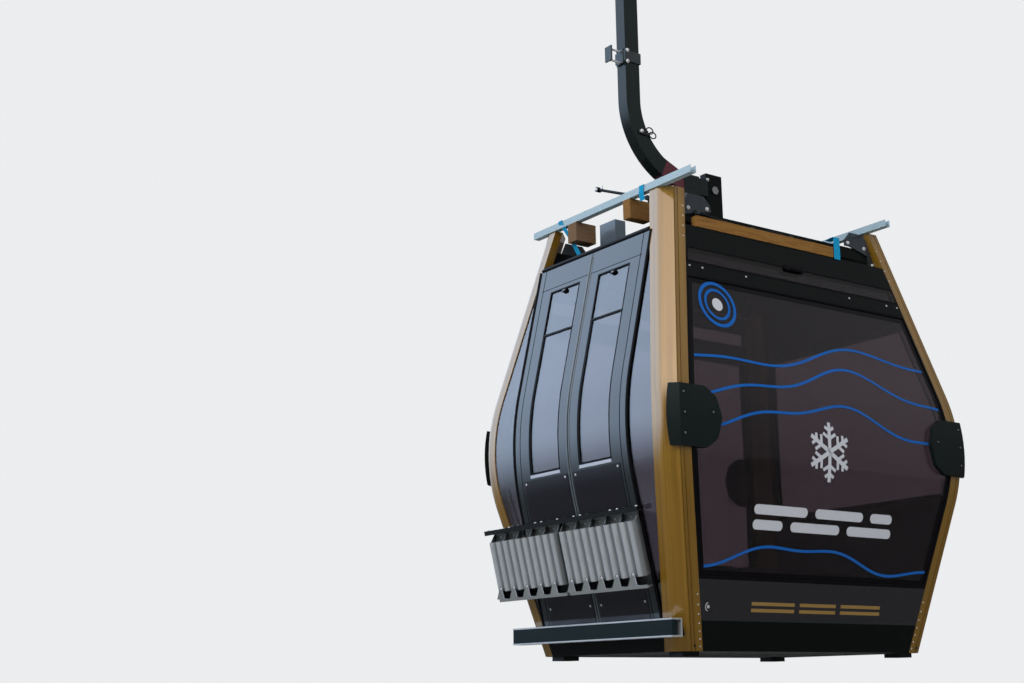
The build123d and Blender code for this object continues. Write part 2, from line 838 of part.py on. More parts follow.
# Clamp round the arm, with two rods and a plate that hold cables
clamp_z = arm_z + clamp_rise
clamp_x = arm_depth / 2 + clamp_wall
holder_end = -arm_offset - clamp_x - holder_reach
with BuildPart() as hanger_bracket:
    with Locations((-arm_offset, 0, clamp_z)):
        Box(2 * clamp_x, arm_width + 2 * clamp_wall, clamp_band)
    add(hanger_arm.part, mode=Mode.SUBTRACT)
    for side in (-1, 1):
        with Locations(((holder_end - arm_offset - clamp_x) / 2, 0, clamp_z + side * holder_rod_spacing / 2)):
            Cylinder(holder_rod_radius, holder_reach, rotation=(0, 90, 0))
    with Locations((holder_end, 0, clamp_z)):
        Box(holder_plate, holder_plate_width, holder_rod_spacing + 4 * holder_rod_radius)
    with Locations((-arm_offset - clamp_x, 0, clamp_z)):
        Box(holder_plate, holder_plate_width, holder_rod_spacing + 4 * holder_rod_radius)
    add(hanger_arm.part, mode=Mode.SUBTRACT)
finish(hanger_bracket.part, "hanger_bracket")

# Hub of the hanger on its pivot pin, square to the rope
pivot_z = -pivot_drop
hub_middle = -grip_left - side_clearance - hub_length / 2
hub_seat = head_z + arm_depth / 2
with BuildPart() as hanger_hub:
    with Locations((hub_middle, 0, pivot_z)):
        Cylinder(hub_radius, hub_length, rotation=(0, 90, 0))
    with Locations((hub_middle, 0, (pivot_z + hub_seat) / 2)):
        Box(hub_length, hub_neck, pivot_z - hub_seat)
    with Locations((hub_middle, 0, pivot_z)):
        Cylinder(pin_radius + run_clearance, 2 * hub_length, rotation=(0, 90, 0), mode=Mode.SUBTRACT)
finish(hanger_hub.part, "hanger_hub")

pin_end = hub_middle - hub_length / 2 - side_clearance
with BuildPart() as pivot_pin:
    with Locations(((pin_end - grip_left) / 2, 0, pivot_z)):
        Cylinder(pin_radius, -grip_left - pin_end, rotation=(0, 90, 0))
    with Locations((pin_end - pin_head / 2, 0, pivot_z)):
        Cylinder(pin_head_radius, pin_head, rotation=(0, 90, 0))
finish(pivot_pin.part, "pivot_pin")

# Grip body with the fixed jaw and a slot for the moving jaw
grip_shape = [
    (-grip_left, -grip_low),
    (grip_toe, -grip_low),
    (grip_right, -grip_waist),
    (grip_right, -grip_ledge),
    (throat_right, -grip_ledge),
    (throat_right, -throat_low),
    (-throat_left, -throat_low),
    (-throat_left, crest_height),
    (-crest_left, crest_height),
    (-grip_left, crest_height - crest_slope),
]
slot_left = jaw_pivot_x - knuckle_radius - side_clearance
slot_bottom = jaw_pivot_z - knuckle_radius - side_clearance
with BuildPart() as grip_body:
    with BuildSketch(Plane.XZ):
        with BuildLine():
            Polyline(*grip_shape, close=True)
        make_face()
        Circle(rope_radius, mode=Mode.SUBTRACT)
        with Locations((jaw_pivot_x, jaw_pivot_z)):
            Circle(jaw_pin_radius, mode=Mode.SUBTRACT)
    extrude(amount=jaw_length / 2, both=True)
    with Locations((slot_left + jaw_slot_height / 2, 0, slot_bottom + jaw_slot_height / 2)):
        Box(jaw_slot_height, 2 * (jaw_half_width + side_clearance), jaw_slot_height, mode=Mode.SUBTRACT)
finish(grip_body.part, "grip_body")

with BuildPart() as jaw_pin:
    with Locations((jaw_pivot_x, 0, jaw_pivot_z)):
        Cylinder(jaw_pin_radius, jaw_length, rotation=(90, 0, 0))
finish(jaw_pin.part, "jaw_pin")

# Moving jaw: a knuckle on the pin, a hook over the rope and the lever's root
jaw_heel = jaw_pivot_z + jaw_tail
jaw_shape = [
    (jaw_pivot_x - jaw_back, jaw_heel),
    (jaw_pivot_x + jaw_back, jaw_heel),
    (jaw_pivot_x + knuckle_radius, jaw_back_height),
    (jaw_crown_right, jaw_crown),
    (0, jaw_crown),
    (0, jaw_lip),
    (jaw_throat_x, jaw_throat_z),
]
with BuildPart() as grip_jaw:
    with BuildSketch(Plane.XZ):
        with BuildLine():
            Polyline(*jaw_shape, close=True)
        make_face()
        with Locations((jaw_pivot_x, jaw_pivot_z)):
            Circle(knuckle_radius)
            Circle(jaw_pin_radius + run_clearance, mode=Mode.SUBTRACT)
        Circle(rope_radius, mode=Mode.SUBTRACT)
    extrude(amount=jaw_half_width, both=True)
finish(grip_jaw.part, "grip_jaw")

lever_root = jaw_pivot_x + jaw_back
lever_end = lever_reach - side_clearance
lever_shape = [
    (lever_root, 0),
    (jaw_pivot_x + knuckle_radius, jaw_back_height),
    (lever_end - lever_heel, lever_rise + lever_half_height),
    (lever_end, lever_rise + lever_half_height),
    (lever_end, lever_rise - lever_half_height),
    (lever_end - lever_heel, lever_rise - lever_half_height),
]
coupling_middle = lever_reach + coupling_width / 2
with BuildPart() as grip_lever:
    with BuildSketch(Plane.XZ):
        with BuildLine():
            Polyline(*lever_shape, close=True)
        make_face()
    extrude(amount=lever_half_width, both=True)
    with Locations((coupling_middle, 0, lever_rise)):
        Cylinder(axle_radius, coupling_width + 4 * side_clearance, rotation=(0, 90, 0))
    add(grip_jaw.part, mode=Mode.SUBTRACT)
finish(grip_lever.part, "grip_lever")

# Rollers: two that carry the grip through a station and one on the lever's end
roller_middle = grip_right + running_standoff + running_width / 2
roller_ends = {"running_roller_far": 1, "running_roller_near": -1}
for name, side in roller_ends.items():
    with BuildPart() as roller:
        with Locations((roller_middle, side * running_spacing / 2, -running_drop)):
            Cylinder(running_radius, running_width, rotation=(0, 90, 0))
            Cylinder(axle_radius + run_clearance, 2 * running_width, rotation=(0, 90, 0), mode=Mode.SUBTRACT)
    finish(roller.part, name)

axle_end = roller_middle + running_width / 2 + side_clearance
with BuildPart() as roller_axles:
    for side in (-1, 1):
        with Locations(((grip_right + axle_end) / 2, side * running_spacing / 2, -running_drop)):
            Cylinder(axle_radius, axle_end - grip_right, rotation=(0, 90, 0))
        with BuildSketch(Plane.YZ.offset(axle_end)):
            with Locations((side * running_spacing / 2, -running_drop)):
                RegularPolygon(axle_head_radius, 6)
        extrude(amount=pin_head)
finish(roller_axles.part, "roller_axles")

with BuildPart() as coupling_roller:
    with Locations((coupling_middle, 0, lever_rise)):
        Cylinder(coupling_radius, coupling_width, rotation=(0, 90, 0))
        Cylinder(axle_radius + run_clearance, 2 * coupling_width, rotation=(0, 90, 0), mode=Mode.SUBTRACT)
finish(coupling_roller.part, "coupling_roller")

plate_middle = plate_overlap - crest_left - plate_width / 2 + throat_left
with BuildPart() as friction_plate:
    with Locations((plate_middle, 0, crest_height + plate_thickness / 2)):
        Box(plate_width, 2 * plate_half_length, plate_thickness)
finish(friction_plate.part, "friction_plate")

# Door drive on the roof
drive_outer = half_width(roof_top) - drive_inset
drive_x = (-drive_outer, drive_depth - drive_outer)
with BuildPart() as door_drive:
    add(box_between(drive_x, (drive_low_y, drive_high_y), (roof_top, roof_top + drive_rise)))
    add(roof_panel.part, mode=Mode.SUBTRACT)
finish(door_drive.part, "door_drive")

# Lever rod that works the doors, with a boss at its bend and a roller at its free end
rod_x = drive_depth / 2 - drive_outer
rod_foot = (rod_x, rod_foot_y, level(roof_top))
rod_bend = (rod_x, rod_bend_y, level(roof_top + rod_bend_rise))
rod_tip = (rod_x, rod_tip_y, level(roof_top + rod_tip_rise))
with BuildPart() as door_lever:
    for start, end in ((rod_foot, rod_bend), (rod_bend, rod_tip)):
        with BuildLine():
            rod = Line(start, end)
        with BuildSketch(Plane(origin=rod @ 0, z_dir=rod % 0)):
            Circle(rod_radius)
        sweep(path=rod)
    with Locations(rod_tip, rod_bend):
        Cylinder(rod_knob_radius, 2 * rod_knob_radius, rotation=(0, 90, 0))
    add(roof_panel.part, mode=Mode.SUBTRACT)
    add(slab(0, roof_top), mode=Mode.SUBTRACT)
finish(door_lever.part, "door_lever")

# Steel channels across the post tops along the rope, open upwards
post_top_edge = half_width(post_height)
channel_front_x = channel_front_inset - post_top_edge
channel_back_x = post_top_edge - channel_back_inset
channel_rows = ((channel_front_x, channel_front_y), (channel_back_x, channel_back_y))
with BuildPart() as roof_channels:
    for middle, (start, end) in channel_rows:
        with BuildSketch(Plane.XZ.offset(-start)):
            with Locations((middle, level(post_height) + channel_size / 2)):
                Rectangle(channel_size, channel_size)
            with Locations((middle, level(post_height) + channel_size / 2 + channel_wall)):
                Rectangle(channel_size - 2 * channel_wall, channel_size, mode=Mode.SUBTRACT)
        extrude(amount=start - end)
finish(roof_channels.part, "roof_channels")

# Timber batten along the front edge of the roof and two blocks under the channel
batten_y = half_width(roof_underside) - end_inset
with BuildPart() as timber_batten:
    y_range = (-batten_y, batten_thickness - batten_y)
    add(box_between((batten_start, batten_end), y_range, (roof_top, roof_top + batten_height)))
    add(posts, mode=Mode.SUBTRACT)
    add(roof_panel.part, mode=Mode.SUBTRACT)
finish(timber_batten.part, "timber_batten")

with BuildPart() as timber_blocks:
    for y_range in block_y:
        x_range = (channel_front_x - channel_size / 2, channel_front_x - channel_size / 2 + block_length)
        add(box_between(x_range, y_range, (post_height - block_height, post_height)))
finish(timber_blocks.part, "timber_blocks")

# Cable along the front of the roof frame, in front of the gusset plates, with a clip and two end blocks
cable_y = -(gusset_y + gusset_plate + cable_radius + seat_clearance)
cable_points = [(x, cable_y, level(crown_top + height)) for x, height in cable_route]
cable_radii = []
for before, here, after in zip(cable_points, cable_points[1:], cable_points[2:]):
    arriving = Vector(here) - Vector(before)
    leaving = Vector(after) - Vector(here)
    turn = radians(arriving.get_angle(leaving))
    cable_radii.append(0.45 * min(arriving.length, leaving.length) / tan(turn / 2))
print("cable radii", [round(radius) for radius in cable_radii])
with BuildLine() as cable_path:
    FilletPolyline(*cable_points, radius=cable_radii)
with BuildPart() as roof_cable:
    with BuildSketch(Plane(origin=cable_path.line @ 0, z_dir=cable_path.line % 0)):
        Circle(cable_radius)
    sweep(path=cable_path.line)
finish(roof_cable.part, "roof_cable")

# The first end block is on the gusset plate, the others and the clip are on the frame
clip_front = cable_y - cable_radius - clip_cover
with BuildPart() as cable_clips:
    for index, (x, height) in enumerate(cable_route):
        if index in (0, len(cable_route) - 1) or index in clip_points:
            side = -1 if index == 0 else 1
            middle = x if index in clip_points else x + side * clip_width / 2
            back = -gusset_y - gusset_plate if index == 0 else -gusset_y
            clip_x = (middle - clip_width / 2, middle + clip_width / 2)
            clip_z = (crown_top + height - clip_half_height, crown_top + height + clip_half_height)
            add(box_between(clip_x, (clip_front, back), clip_z))
    with BuildSketch(Plane(origin=cable_path.line @ 0, z_dir=cable_path.line % 0)):
        Circle(cable_radius + seat_clearance)
    sweep(path=cable_path.line, mode=Mode.SUBTRACT)
finish(cable_clips.part, "cable_clips")
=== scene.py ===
"""Looks of a ropeway cabin on its bent hanger: finishes for solids, trim, seals, fasteners, pads and light.

All lengths are in metres in the frame of the solids: the rope's centre is the origin, +Y runs along the rope,
-X is the door side and +Z is up. Heights are counted from the underside of the cabin.
"""
import logging
from dataclasses import dataclass
from enum import Enum
from functools import reduce
from itertools import product
from typing import Callable, Sequence

import bmesh
import bpy
import numpy as np
from mathutils import Matrix, Vector


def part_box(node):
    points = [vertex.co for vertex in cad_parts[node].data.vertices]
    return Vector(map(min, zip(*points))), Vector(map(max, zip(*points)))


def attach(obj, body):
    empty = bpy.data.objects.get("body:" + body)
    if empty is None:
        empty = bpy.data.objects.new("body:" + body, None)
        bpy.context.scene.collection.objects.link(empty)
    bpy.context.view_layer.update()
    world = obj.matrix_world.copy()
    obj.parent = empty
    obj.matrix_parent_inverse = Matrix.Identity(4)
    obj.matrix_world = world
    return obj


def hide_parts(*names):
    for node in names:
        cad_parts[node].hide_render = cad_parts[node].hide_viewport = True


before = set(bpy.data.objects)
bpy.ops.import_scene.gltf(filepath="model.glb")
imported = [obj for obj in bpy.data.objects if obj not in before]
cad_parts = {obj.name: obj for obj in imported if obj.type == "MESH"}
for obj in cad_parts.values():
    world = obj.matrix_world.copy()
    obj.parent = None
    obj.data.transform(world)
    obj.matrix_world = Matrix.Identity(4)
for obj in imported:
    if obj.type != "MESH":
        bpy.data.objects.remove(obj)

log = logging.getLogger("cabin")
Array = np.ndarray
Surface = tuple[Array, Array]
Socket = bpy.types.NodeSocket
Pair = tuple[float, float]
Point = tuple[float, float, float]
Color = tuple[float, float, float]
Bar = tuple[float, float, float]
Gradient = tuple[Pair, Color, Color]

FLOOR_LEVEL = -4.9
MILLIMETRE = 0.001
PICTURE_WIDTH = 1024
SIDES = (-1, 1)
SHARP_EDGE = 0.1
UP = (0.0, 0.0, 1.0)
OUT_FROM_DOORS = (-1.0, 0.0, 0.0)


# Geometry: the cabin's outline and the surfaces that trim is made of


class Wall(Enum):
    """The four walls of the cabin, as the axis that they face along and its sign."""

    NEAR_END = (1, -1)
    FAR_END = (1, 1)
    DOOR_SIDE = (0, -1)
    FAR_SIDE = (0, 1)


ENDS = (Wall.NEAR_END, Wall.FAR_END)


@dataclass(frozen=True)
class Outline:
    """Bent outline of the cabin body, which the solids are cut from.

    Two straight legs lean in above and below the belt, and an arc joins them.
    """

    belt_height: float = 1.178
    belt_half_width: float = 1.212
    slope: float = 0.23
    bend_radius: float = 1.454
    end_inset: float = 0.318

    def half_width(self, height: Array) -> Array:
        """Works out the half width of the door side and far side.

        Args:
            height: heights over the underside.

        Returns:
            Arc of the bend radius near the belt, belt value less slope times distance elsewhere.
        """
        rise = np.asarray(height, float) - self.belt_height
        angle = np.arctan(self.slope)
        arc = np.sqrt(np.maximum(self.bend_radius**2 - rise**2, 0)) + self.belt_half_width
        arc = arc - self.bend_radius / np.cos(angle)
        leg = self.belt_half_width - self.slope * np.abs(rise)
        return np.where(np.abs(rise) < self.bend_radius * np.sin(angle), arc, leg)

    def reach(self, height: float, inset: float) -> float:
        """Half width at one height, less an inset."""
        return float(self.half_width(height)) - inset

    def place(self, wall: Wall, across: Array, height: Array, proud: Array) -> Array:
        """Puts points on a wall.

        Args:
            wall: the wall.
            across: distances along the wall, X on the ends and Y on the sides.
            height: heights over the underside.
            proud: how far each point stands off the wall's outer face.

        Returns:
            Points of shape (..., 3).
        """
        axis, sign = wall.value
        inset = self.end_inset if axis == 1 else 0.0
        out = sign * (self.half_width(height) - inset + proud)
        flat = np.broadcast_to(np.asarray(across, float), out.shape)
        level = np.broadcast_to(np.asarray(height, float) + FLOOR_LEVEL, out.shape)
        return np.stack((flat, out, level) if axis == 1 else (out, flat, level), axis=-1)

    def normal(self, wall: Wall, height: Array, step: float = 1e-4) -> Array:
        """Outward normals of a wall, from the slope of the outline.

        Args:
            wall: the wall.
            height: heights over the underside.
            step: half of the rise that the slope is measured over.

        Returns:
            Unit vectors of shape (..., 3).
        """
        axis, sign = wall.value
        height = np.asarray(height, float)
        lean = (self.half_width(height + step) - self.half_width(height - step)) / (2 * step)
        length = np.sqrt(1 + lean**2)
        out = np.zeros(height.shape + (3,))
        out[..., axis] = sign / length
        out[..., 2] = -lean / length
        return out


OUTLINE = Outline()


@dataclass
class Mesh:
    """Points and faces of a piece that is being put together from surfaces."""

    def __post_init__(self) -> None:
        """Starts without any surface."""
        self.points: list[Array] = []
        self.faces: list[Array] = []
        self.count = 0

    def add(self, surface: Surface) -> None:
        """Appends a surface.

        Args:
            surface: points of shape (n, 3), and quads as rows of four indices into them.
        """
        points, faces = surface
        self.points.append(np.asarray(points, float))
        self.faces.append(faces + self.count)
        self.count += len(points)

    def piece(self, name: str, finish: "Finish", body: str = "cabin", sharp: float = 0.6) -> bpy.types.Object:
        """Makes the object, turns its faces outwards, dresses it and lets it ride on a body.

        Args:
            name: the piece's name.
            finish: its finish.
            body: the body of the solids that it moves with.
            sharp: angle in radians from which an edge is shaded sharp.

        Returns:
            The object, at the origin.
        """
        data = bpy.data.meshes.new(name)
        polygons = [list(dict.fromkeys(row)) for faces in self.faces for row in faces.tolist()]
        data.from_pydata(np.concatenate(self.points).tolist(), [], [row for row in polygons if len(row) > 2])
        shape = bmesh.new()
        shape.from_mesh(data)
        bmesh.ops.remove_doubles(shape, verts=shape.verts, dist=1e-6)
        bmesh.ops.recalc_face_normals(shape, faces=shape.faces)
        for face in shape.faces:
            face.smooth = True
        for edge in shape.edges:
            edge.smooth = len(edge.link_faces) != 2 or edge.calc_face_angle(0) <= sharp
        shape.to_mesh(data)
        shape.free()
        item = bpy.data.objects.new(name, data)
        bpy.context.scene.collection.objects.link(item)
        data.materials.append(finish.material())
        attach(item, body)
        log.info("%s: %d faces on %s", name, len(data.polygons), body)
        return item


def ring_faces(rows: int, columns: int, closed: bool = False) -> Array:
    """Quads between the neighbouring rings of a stack.

    Args:
        rows: number of rings.
        columns: points in each ring.
        closed: whether the last ring joins the first.

    Returns:
        Rows of four indices.
    """
    row = np.arange(rows if closed else rows - 1)[:, None]
    column = np.arange(columns)
    below, right = (row + 1) % rows, (column + 1) % columns
    places = ((row, column), (row, right), (below, right), (below, column))
    corners = [level * columns + place for level, place in places]
    return np.stack(corners, axis=-1).reshape(-1, 4)


def shell(rings: Array, closed: bool = False) -> Surface:
    """Joins a stack of rings, and folds the first and last ring shut unless the stack is a loop.

    Args:
        rings: points, shape (rows, columns, 3).
        closed: whether the last ring joins the first.

    Returns:
        Points and quads.
    """
    rows, columns = rings.shape[:2]
    faces = ring_faces(rows, columns, closed)
    if not closed:
        low = np.arange((columns - 1) // 2)
        fold = np.stack((low, low + 1, np.maximum(columns - 2 - low, low + 1), columns - 1 - low), axis=-1)
        faces = np.concatenate((faces, fold, fold + (rows - 1) * columns))
    return rings.reshape(-1, 3), faces


def unit(vectors: Array) -> Array:
    """Vectors at length one."""
    return vectors / np.linalg.norm(vectors, axis=-1, keepdims=True)


def circle(radius: float, segments: int = 12) -> Array:
    """Ring of a circle: radius * (cos, sin)."""
    angle = np.linspace(0, 2 * np.pi, segments, endpoint=False)
    return radius * np.stack((np.cos(angle), np.sin(angle)), axis=1)


def wall_strip(wall: Wall, path: Array, profile: Array, closed: bool = False) -> Surface:
    """Carries a profile along a path on a wall: point = path + side * u, proud of the wall by v.

    Args:
        wall: the wall.
        path: rows of (across, height).
        profile: a closed ring of (u, v), u in the wall and v off it.
        closed: whether the path is a loop.

    Returns:
        Points and quads.
    """
    least_miter = 0.35
    ahead = np.roll(path, -1, 0) - path
    behind = path - np.roll(path, 1, 0)
    if not closed:
        ahead[-1], behind[0] = behind[-1], ahead[0]
    ahead, behind = (unit(run) @ np.array(((0, 1), (-1, 0))) for run in (ahead, behind))
    side = ahead + behind
    side /= np.maximum((side * ahead).sum(1, keepdims=True), least_miter)
    flat = path[:, None, :] + side[:, None, :] * profile[None, :, :1]
    return shell(OUTLINE.place(wall, flat[..., 0], flat[..., 1], profile[None, :, 1]), closed)


def wall_ribbon(wall: Wall, low: Array, high: Array, base: float, thickness: float) -> Surface:
    """Sheet between two curves on a wall: point = low * (1 - t) + high * t, in a shell of even thickness.

    Args:
        wall: the wall.
        low: rows of (across, height) of one edge.
        high: as many rows of the other edge.
        base: how far the sheet's underside stands off the wall.
        thickness: of the sheet.

    Returns:
        Points and quads of the closed sheet.
    """
    spacing = 0.03
    steps = max(2, int(np.ceil(np.abs(high - low).max() / spacing)) + 1)
    share = np.linspace(0, 1, steps)
    share = np.concatenate((share, share[::-1]))
    proud = np.repeat((base + thickness, base), steps)
    flat = low[:, None] + (high - low)[:, None] * share[None, :, None]
    return shell(OUTLINE.place(wall, flat[..., 0], flat[..., 1], proud[None]))


def boss(wall: Wall, outline: Array, rings: Sequence[Pair]) -> Surface:
    """Raised shape on a wall: rings of one convex outline, each drawn in by a share and proud by a height.

    Args:
        wall: the wall.
        outline: rows of (across, height), a convex loop.
        rings: rows of (scale, proud), from the wall to the top.

    Returns:
        Points and quads, closed at both ends.
    """
    centre = outline.mean(0)
    scale, proud = np.array(rings).T[..., None]
    flat = centre + (outline - centre) * scale[..., None]
    return shell(OUTLINE.place(wall, flat[..., 0], flat[..., 1], np.broadcast_to(proud, flat.shape[:2])))


def turned(points: Array, axes: Array, profile: Array, segments: int) -> Surface:
    """Turns a profile about an axis at many places at once: point + axis * h + ring * r.

    Args:
        points: places, shape (n, 3).
        axes: unit axes, shape (n, 3), or one for all places.
        profile: rows of (r, h) from the middle of the base to the middle of the head.
        segments: sides of each ring.

    Returns:
        Points and quads.
    """
    steep = 0.8
    points = np.atleast_2d(points).astype(float)
    axes = np.broadcast_to(np.atleast_2d(axes).astype(float), points.shape)
    first = unit(np.cross(axes, np.where(np.abs(axes[:, :1]) < steep, (1.0, 0.0, 0.0), (0.0, 1.0, 0.0))))
    second = np.cross(axes, first)
    turn = circle(1.0, segments)
    ring = first[:, None] * turn[None, :, :1] + second[:, None] * turn[None, :, 1:]
    profile = np.asarray(profile, float)
    shape = points[:, None, None] + axes[:, None, None] * profile[None, :, None, 1:]
    shape = shape + ring[:, None] * profile[None, :, None, :1]
    starts = len(profile) * segments * np.arange(len(points))
    faces = ring_faces(len(profile), segments)[None] + starts[:, None, None]
    return shape.reshape(-1, 3), faces.reshape(-1, 4)


def tube(path: Array, profile: Array, up: Point) -> Surface:
    """Carries a closed profile along a path in space: path + side * u + lift * v.

    Args:
        path: points, shape (n, 3).
        profile: ring of (u, v).
        up: direction that the v axis leans to, never along the path.

    Returns:
        Points and quads, closed at both ends.
    """
    along = unit(np.gradient(path, axis=0))
    side = unit(np.cross(along, up))
    lift = np.cross(side, along)
    return shell(path[:, None] + side[:, None] * profile[None, :, :1] + lift[:, None] * profile[None, :, 1:])


def block(low: Point, high: Point, bevel: float = 0.002) -> Surface:
    """Box with bevelled upright edges, top and bottom.

    Args:
        low: lowest corner.
        high: highest corner.
        bevel: width of the bevels.

    Returns:
        Points and quads.
    """
    centre, half = (np.add(low, high)) / 2, np.subtract(high, low) / 2
    rings = []
    for level, shrink in ((-1, bevel), (-1, 0), (1, 0), (1, bevel)):
        x, y = half[:2] - shrink
        rise = level * (half[2] - (bevel if shrink == 0 else 0))
        ring = [(-x, -y + bevel), (-x + bevel, -y), (x - bevel, -y), (x, -y + bevel)]
        ring += [(x, y - bevel), (x - bevel, y), (-x + bevel, y), (-x, y - bevel)]
        rings.append([(u, v, rise) for u, v in ring])
    return shell(centre + np.array(rings))


def densify(path: Array, step: float, closed: bool = False) -> Array:
    """Adds points along the long runs of a path, so that it follows the bend of a wall.

    Args:
        path: rows of coordinates.
        step: longest run that stays whole.
        closed: whether the last point joins the first.

    Returns:
        The path with its own and the added points.
    """
    runs = []
    for start, end in zip(path, np.roll(path, -1, 0) if closed else path[1:]):
        count = max(1, int(np.ceil(np.linalg.norm(end - start) / step)))
        runs.append(start + (end - start) * np.linspace(0, 1, count, endpoint=False)[:, None])
    return np.concatenate(runs if closed else [*runs, path[-1:]])


def line(start: Sequence[float], end: Sequence[float], step: float = 0.03) -> Array:
    """Points along a straight run on a wall, close enough to follow its bend."""
    return densify(np.array([start, end], float), step)


def level_line(reach: float, height: float) -> Array:
    """Points along a level run across the middle of a wall."""
    return line((-reach, height), (reach, height), 0.1)


def rounded_loop(low: Sequence[float], high: Sequence[float], radius: float, steps: int = 6) -> Array:
    """Loop round a rectangle with quarter circles at its corners, with extra points along its sides.

    Args:
        low: lower corner.
        high: upper corner.
        radius: of the corners.
        steps: points in each corner.

    Returns:
        Rows of (across, height), anticlockwise.
    """
    quarter, spacing = np.pi / 2, 0.04
    centres = ((high[0], high[1]), (low[0], high[1]), (low[0], low[1]), (high[0], low[1]))
    corners = []
    for turn, (centre, sign) in enumerate(zip(centres, ((-1, -1), (1, -1), (1, 1), (-1, 1)))):
        bend = np.linspace(0, quarter, steps) + turn * quarter
        middle = np.array(centre) + radius * np.array(sign)
        corners.append(middle + radius * np.stack((np.cos(bend), np.sin(bend)), axis=1))
    return densify(np.concatenate(corners), spacing, True)


def pill(centre: Sequence[float], half_length: float, half_height: float) -> Array:
    """Outline of a bar with round ends about a centre, as rows of (across, height)."""
    half = np.array((half_length, half_height))
    return rounded_loop(centre - half, centre + half, 0.98 * half_height, 7)


def pane_loop(low: float, high: float, flank: float, inset: float, steps: int = 40) -> Array:
    """Loop round a pane between two heights, whose sides run along the bent posts.

    Args:
        low: lower edge of the pane.
        high: upper edge of the pane.
        flank: distance of its sides from the outline.
        inset: how far the loop lies inside its edges.
        steps: points up each side.

    Returns:
        Rows of (across, height).
    """
    heights = np.linspace(low + inset, high - inset, steps)
    reach = OUTLINE.half_width(heights) - flank - inset
    return np.concatenate((np.stack((reach, heights), axis=1), np.stack((-reach, heights), axis=1)[::-1]))


def bar_profile(width: float, thickness: float, base: float = 0.0, edge: float = 0.3) -> Array:
    """Ring of a flat bar with bevelled top edges, for wall strips.

    Args:
        width: of the bar.
        thickness: of the bar.
        base: how far its underside stands off the wall.
        edge: bevel, as a share of the half width or the thickness.

    Returns:
        Rows of (u, v).
    """
    half, top = width / 2, base + thickness
    bevel = edge * min(half, thickness)
    corners = [(-half, base), (half, base), (half, top - bevel), (half - bevel, top)]
    return np.array([*corners, (-half + bevel, top), (-half, top - bevel)])


def bead_profile(width: float, thickness: float, base: float = 0.0, steps: int = 7) -> Array:
    """Ring of a rounded bead, half an ellipse over a flat base, for wall strips.

    Args:
        width: of the bead.
        thickness: of the bead.
        base: how far the ellipse's middle stands off the wall.
        steps: points of the ellipse.

    Returns:
        Rows of (u, v).
    """
    angle = np.linspace(0, np.pi, steps)
    dome = np.stack((width / 2 * np.cos(angle), base + thickness * np.sin(angle)), axis=1)
    return np.concatenate((dome, [(side * width / 2, base - MILLIMETRE) for side in SIDES]))


class Fastener(Enum):
    """Heads of rivets, screws and bolts, as a profile in head radii and a number of sides."""

    RIVET = (((0, -0.3), (1, -0.3), (1, 0.05), (0.86, 0.32), (0.5, 0.52), (0, 0.6)), 12)
    SCREW = (((0, -0.3), (1, -0.3), (1, 0.2), (0.8, 0.36), (0.34, 0.38), (0.3, 0.12), (0, 0.1)), 12)
    BOLT = (((0, -0.3), (1.5, -0.3), (1.5, 0.12), (1.05, 0.14), (1, 0.75), (0.85, 0.9), (0, 0.9)), 6)
    FLUSH = (((0, -0.3), (1, -0.3), (1, 0), (0.9, 0.02), (0.34, 0.02), (0.3, -0.1), (0, -0.1)), 16)

    def heads(self, points: Array, axes: Array, radius: float) -> Surface:
        """Heads of a radius at places on a surface, along its outward directions."""
        profile, sides = self.value
        return turned(points, axes, radius * np.array(profile), sides)

    def on(self, wall: Wall, places: Sequence[Sequence[float]], radius: float, proud: float = 0.0) -> Surface:
        """Heads of a radius at (across, height) places on a wall."""
        return self.heads(*on_wall(wall, places, proud), radius)


def on_wall(wall: Wall, places: Sequence[Sequence[float]], proud: float = 0.0) -> Surface:
    """Points and outward normals at (across, height) places on a wall."""
    across, height = np.asarray(places, float).T
    return OUTLINE.place(wall, across, height, np.full(len(across), proud)), OUTLINE.normal(wall, height)


# Shader groups and finishes


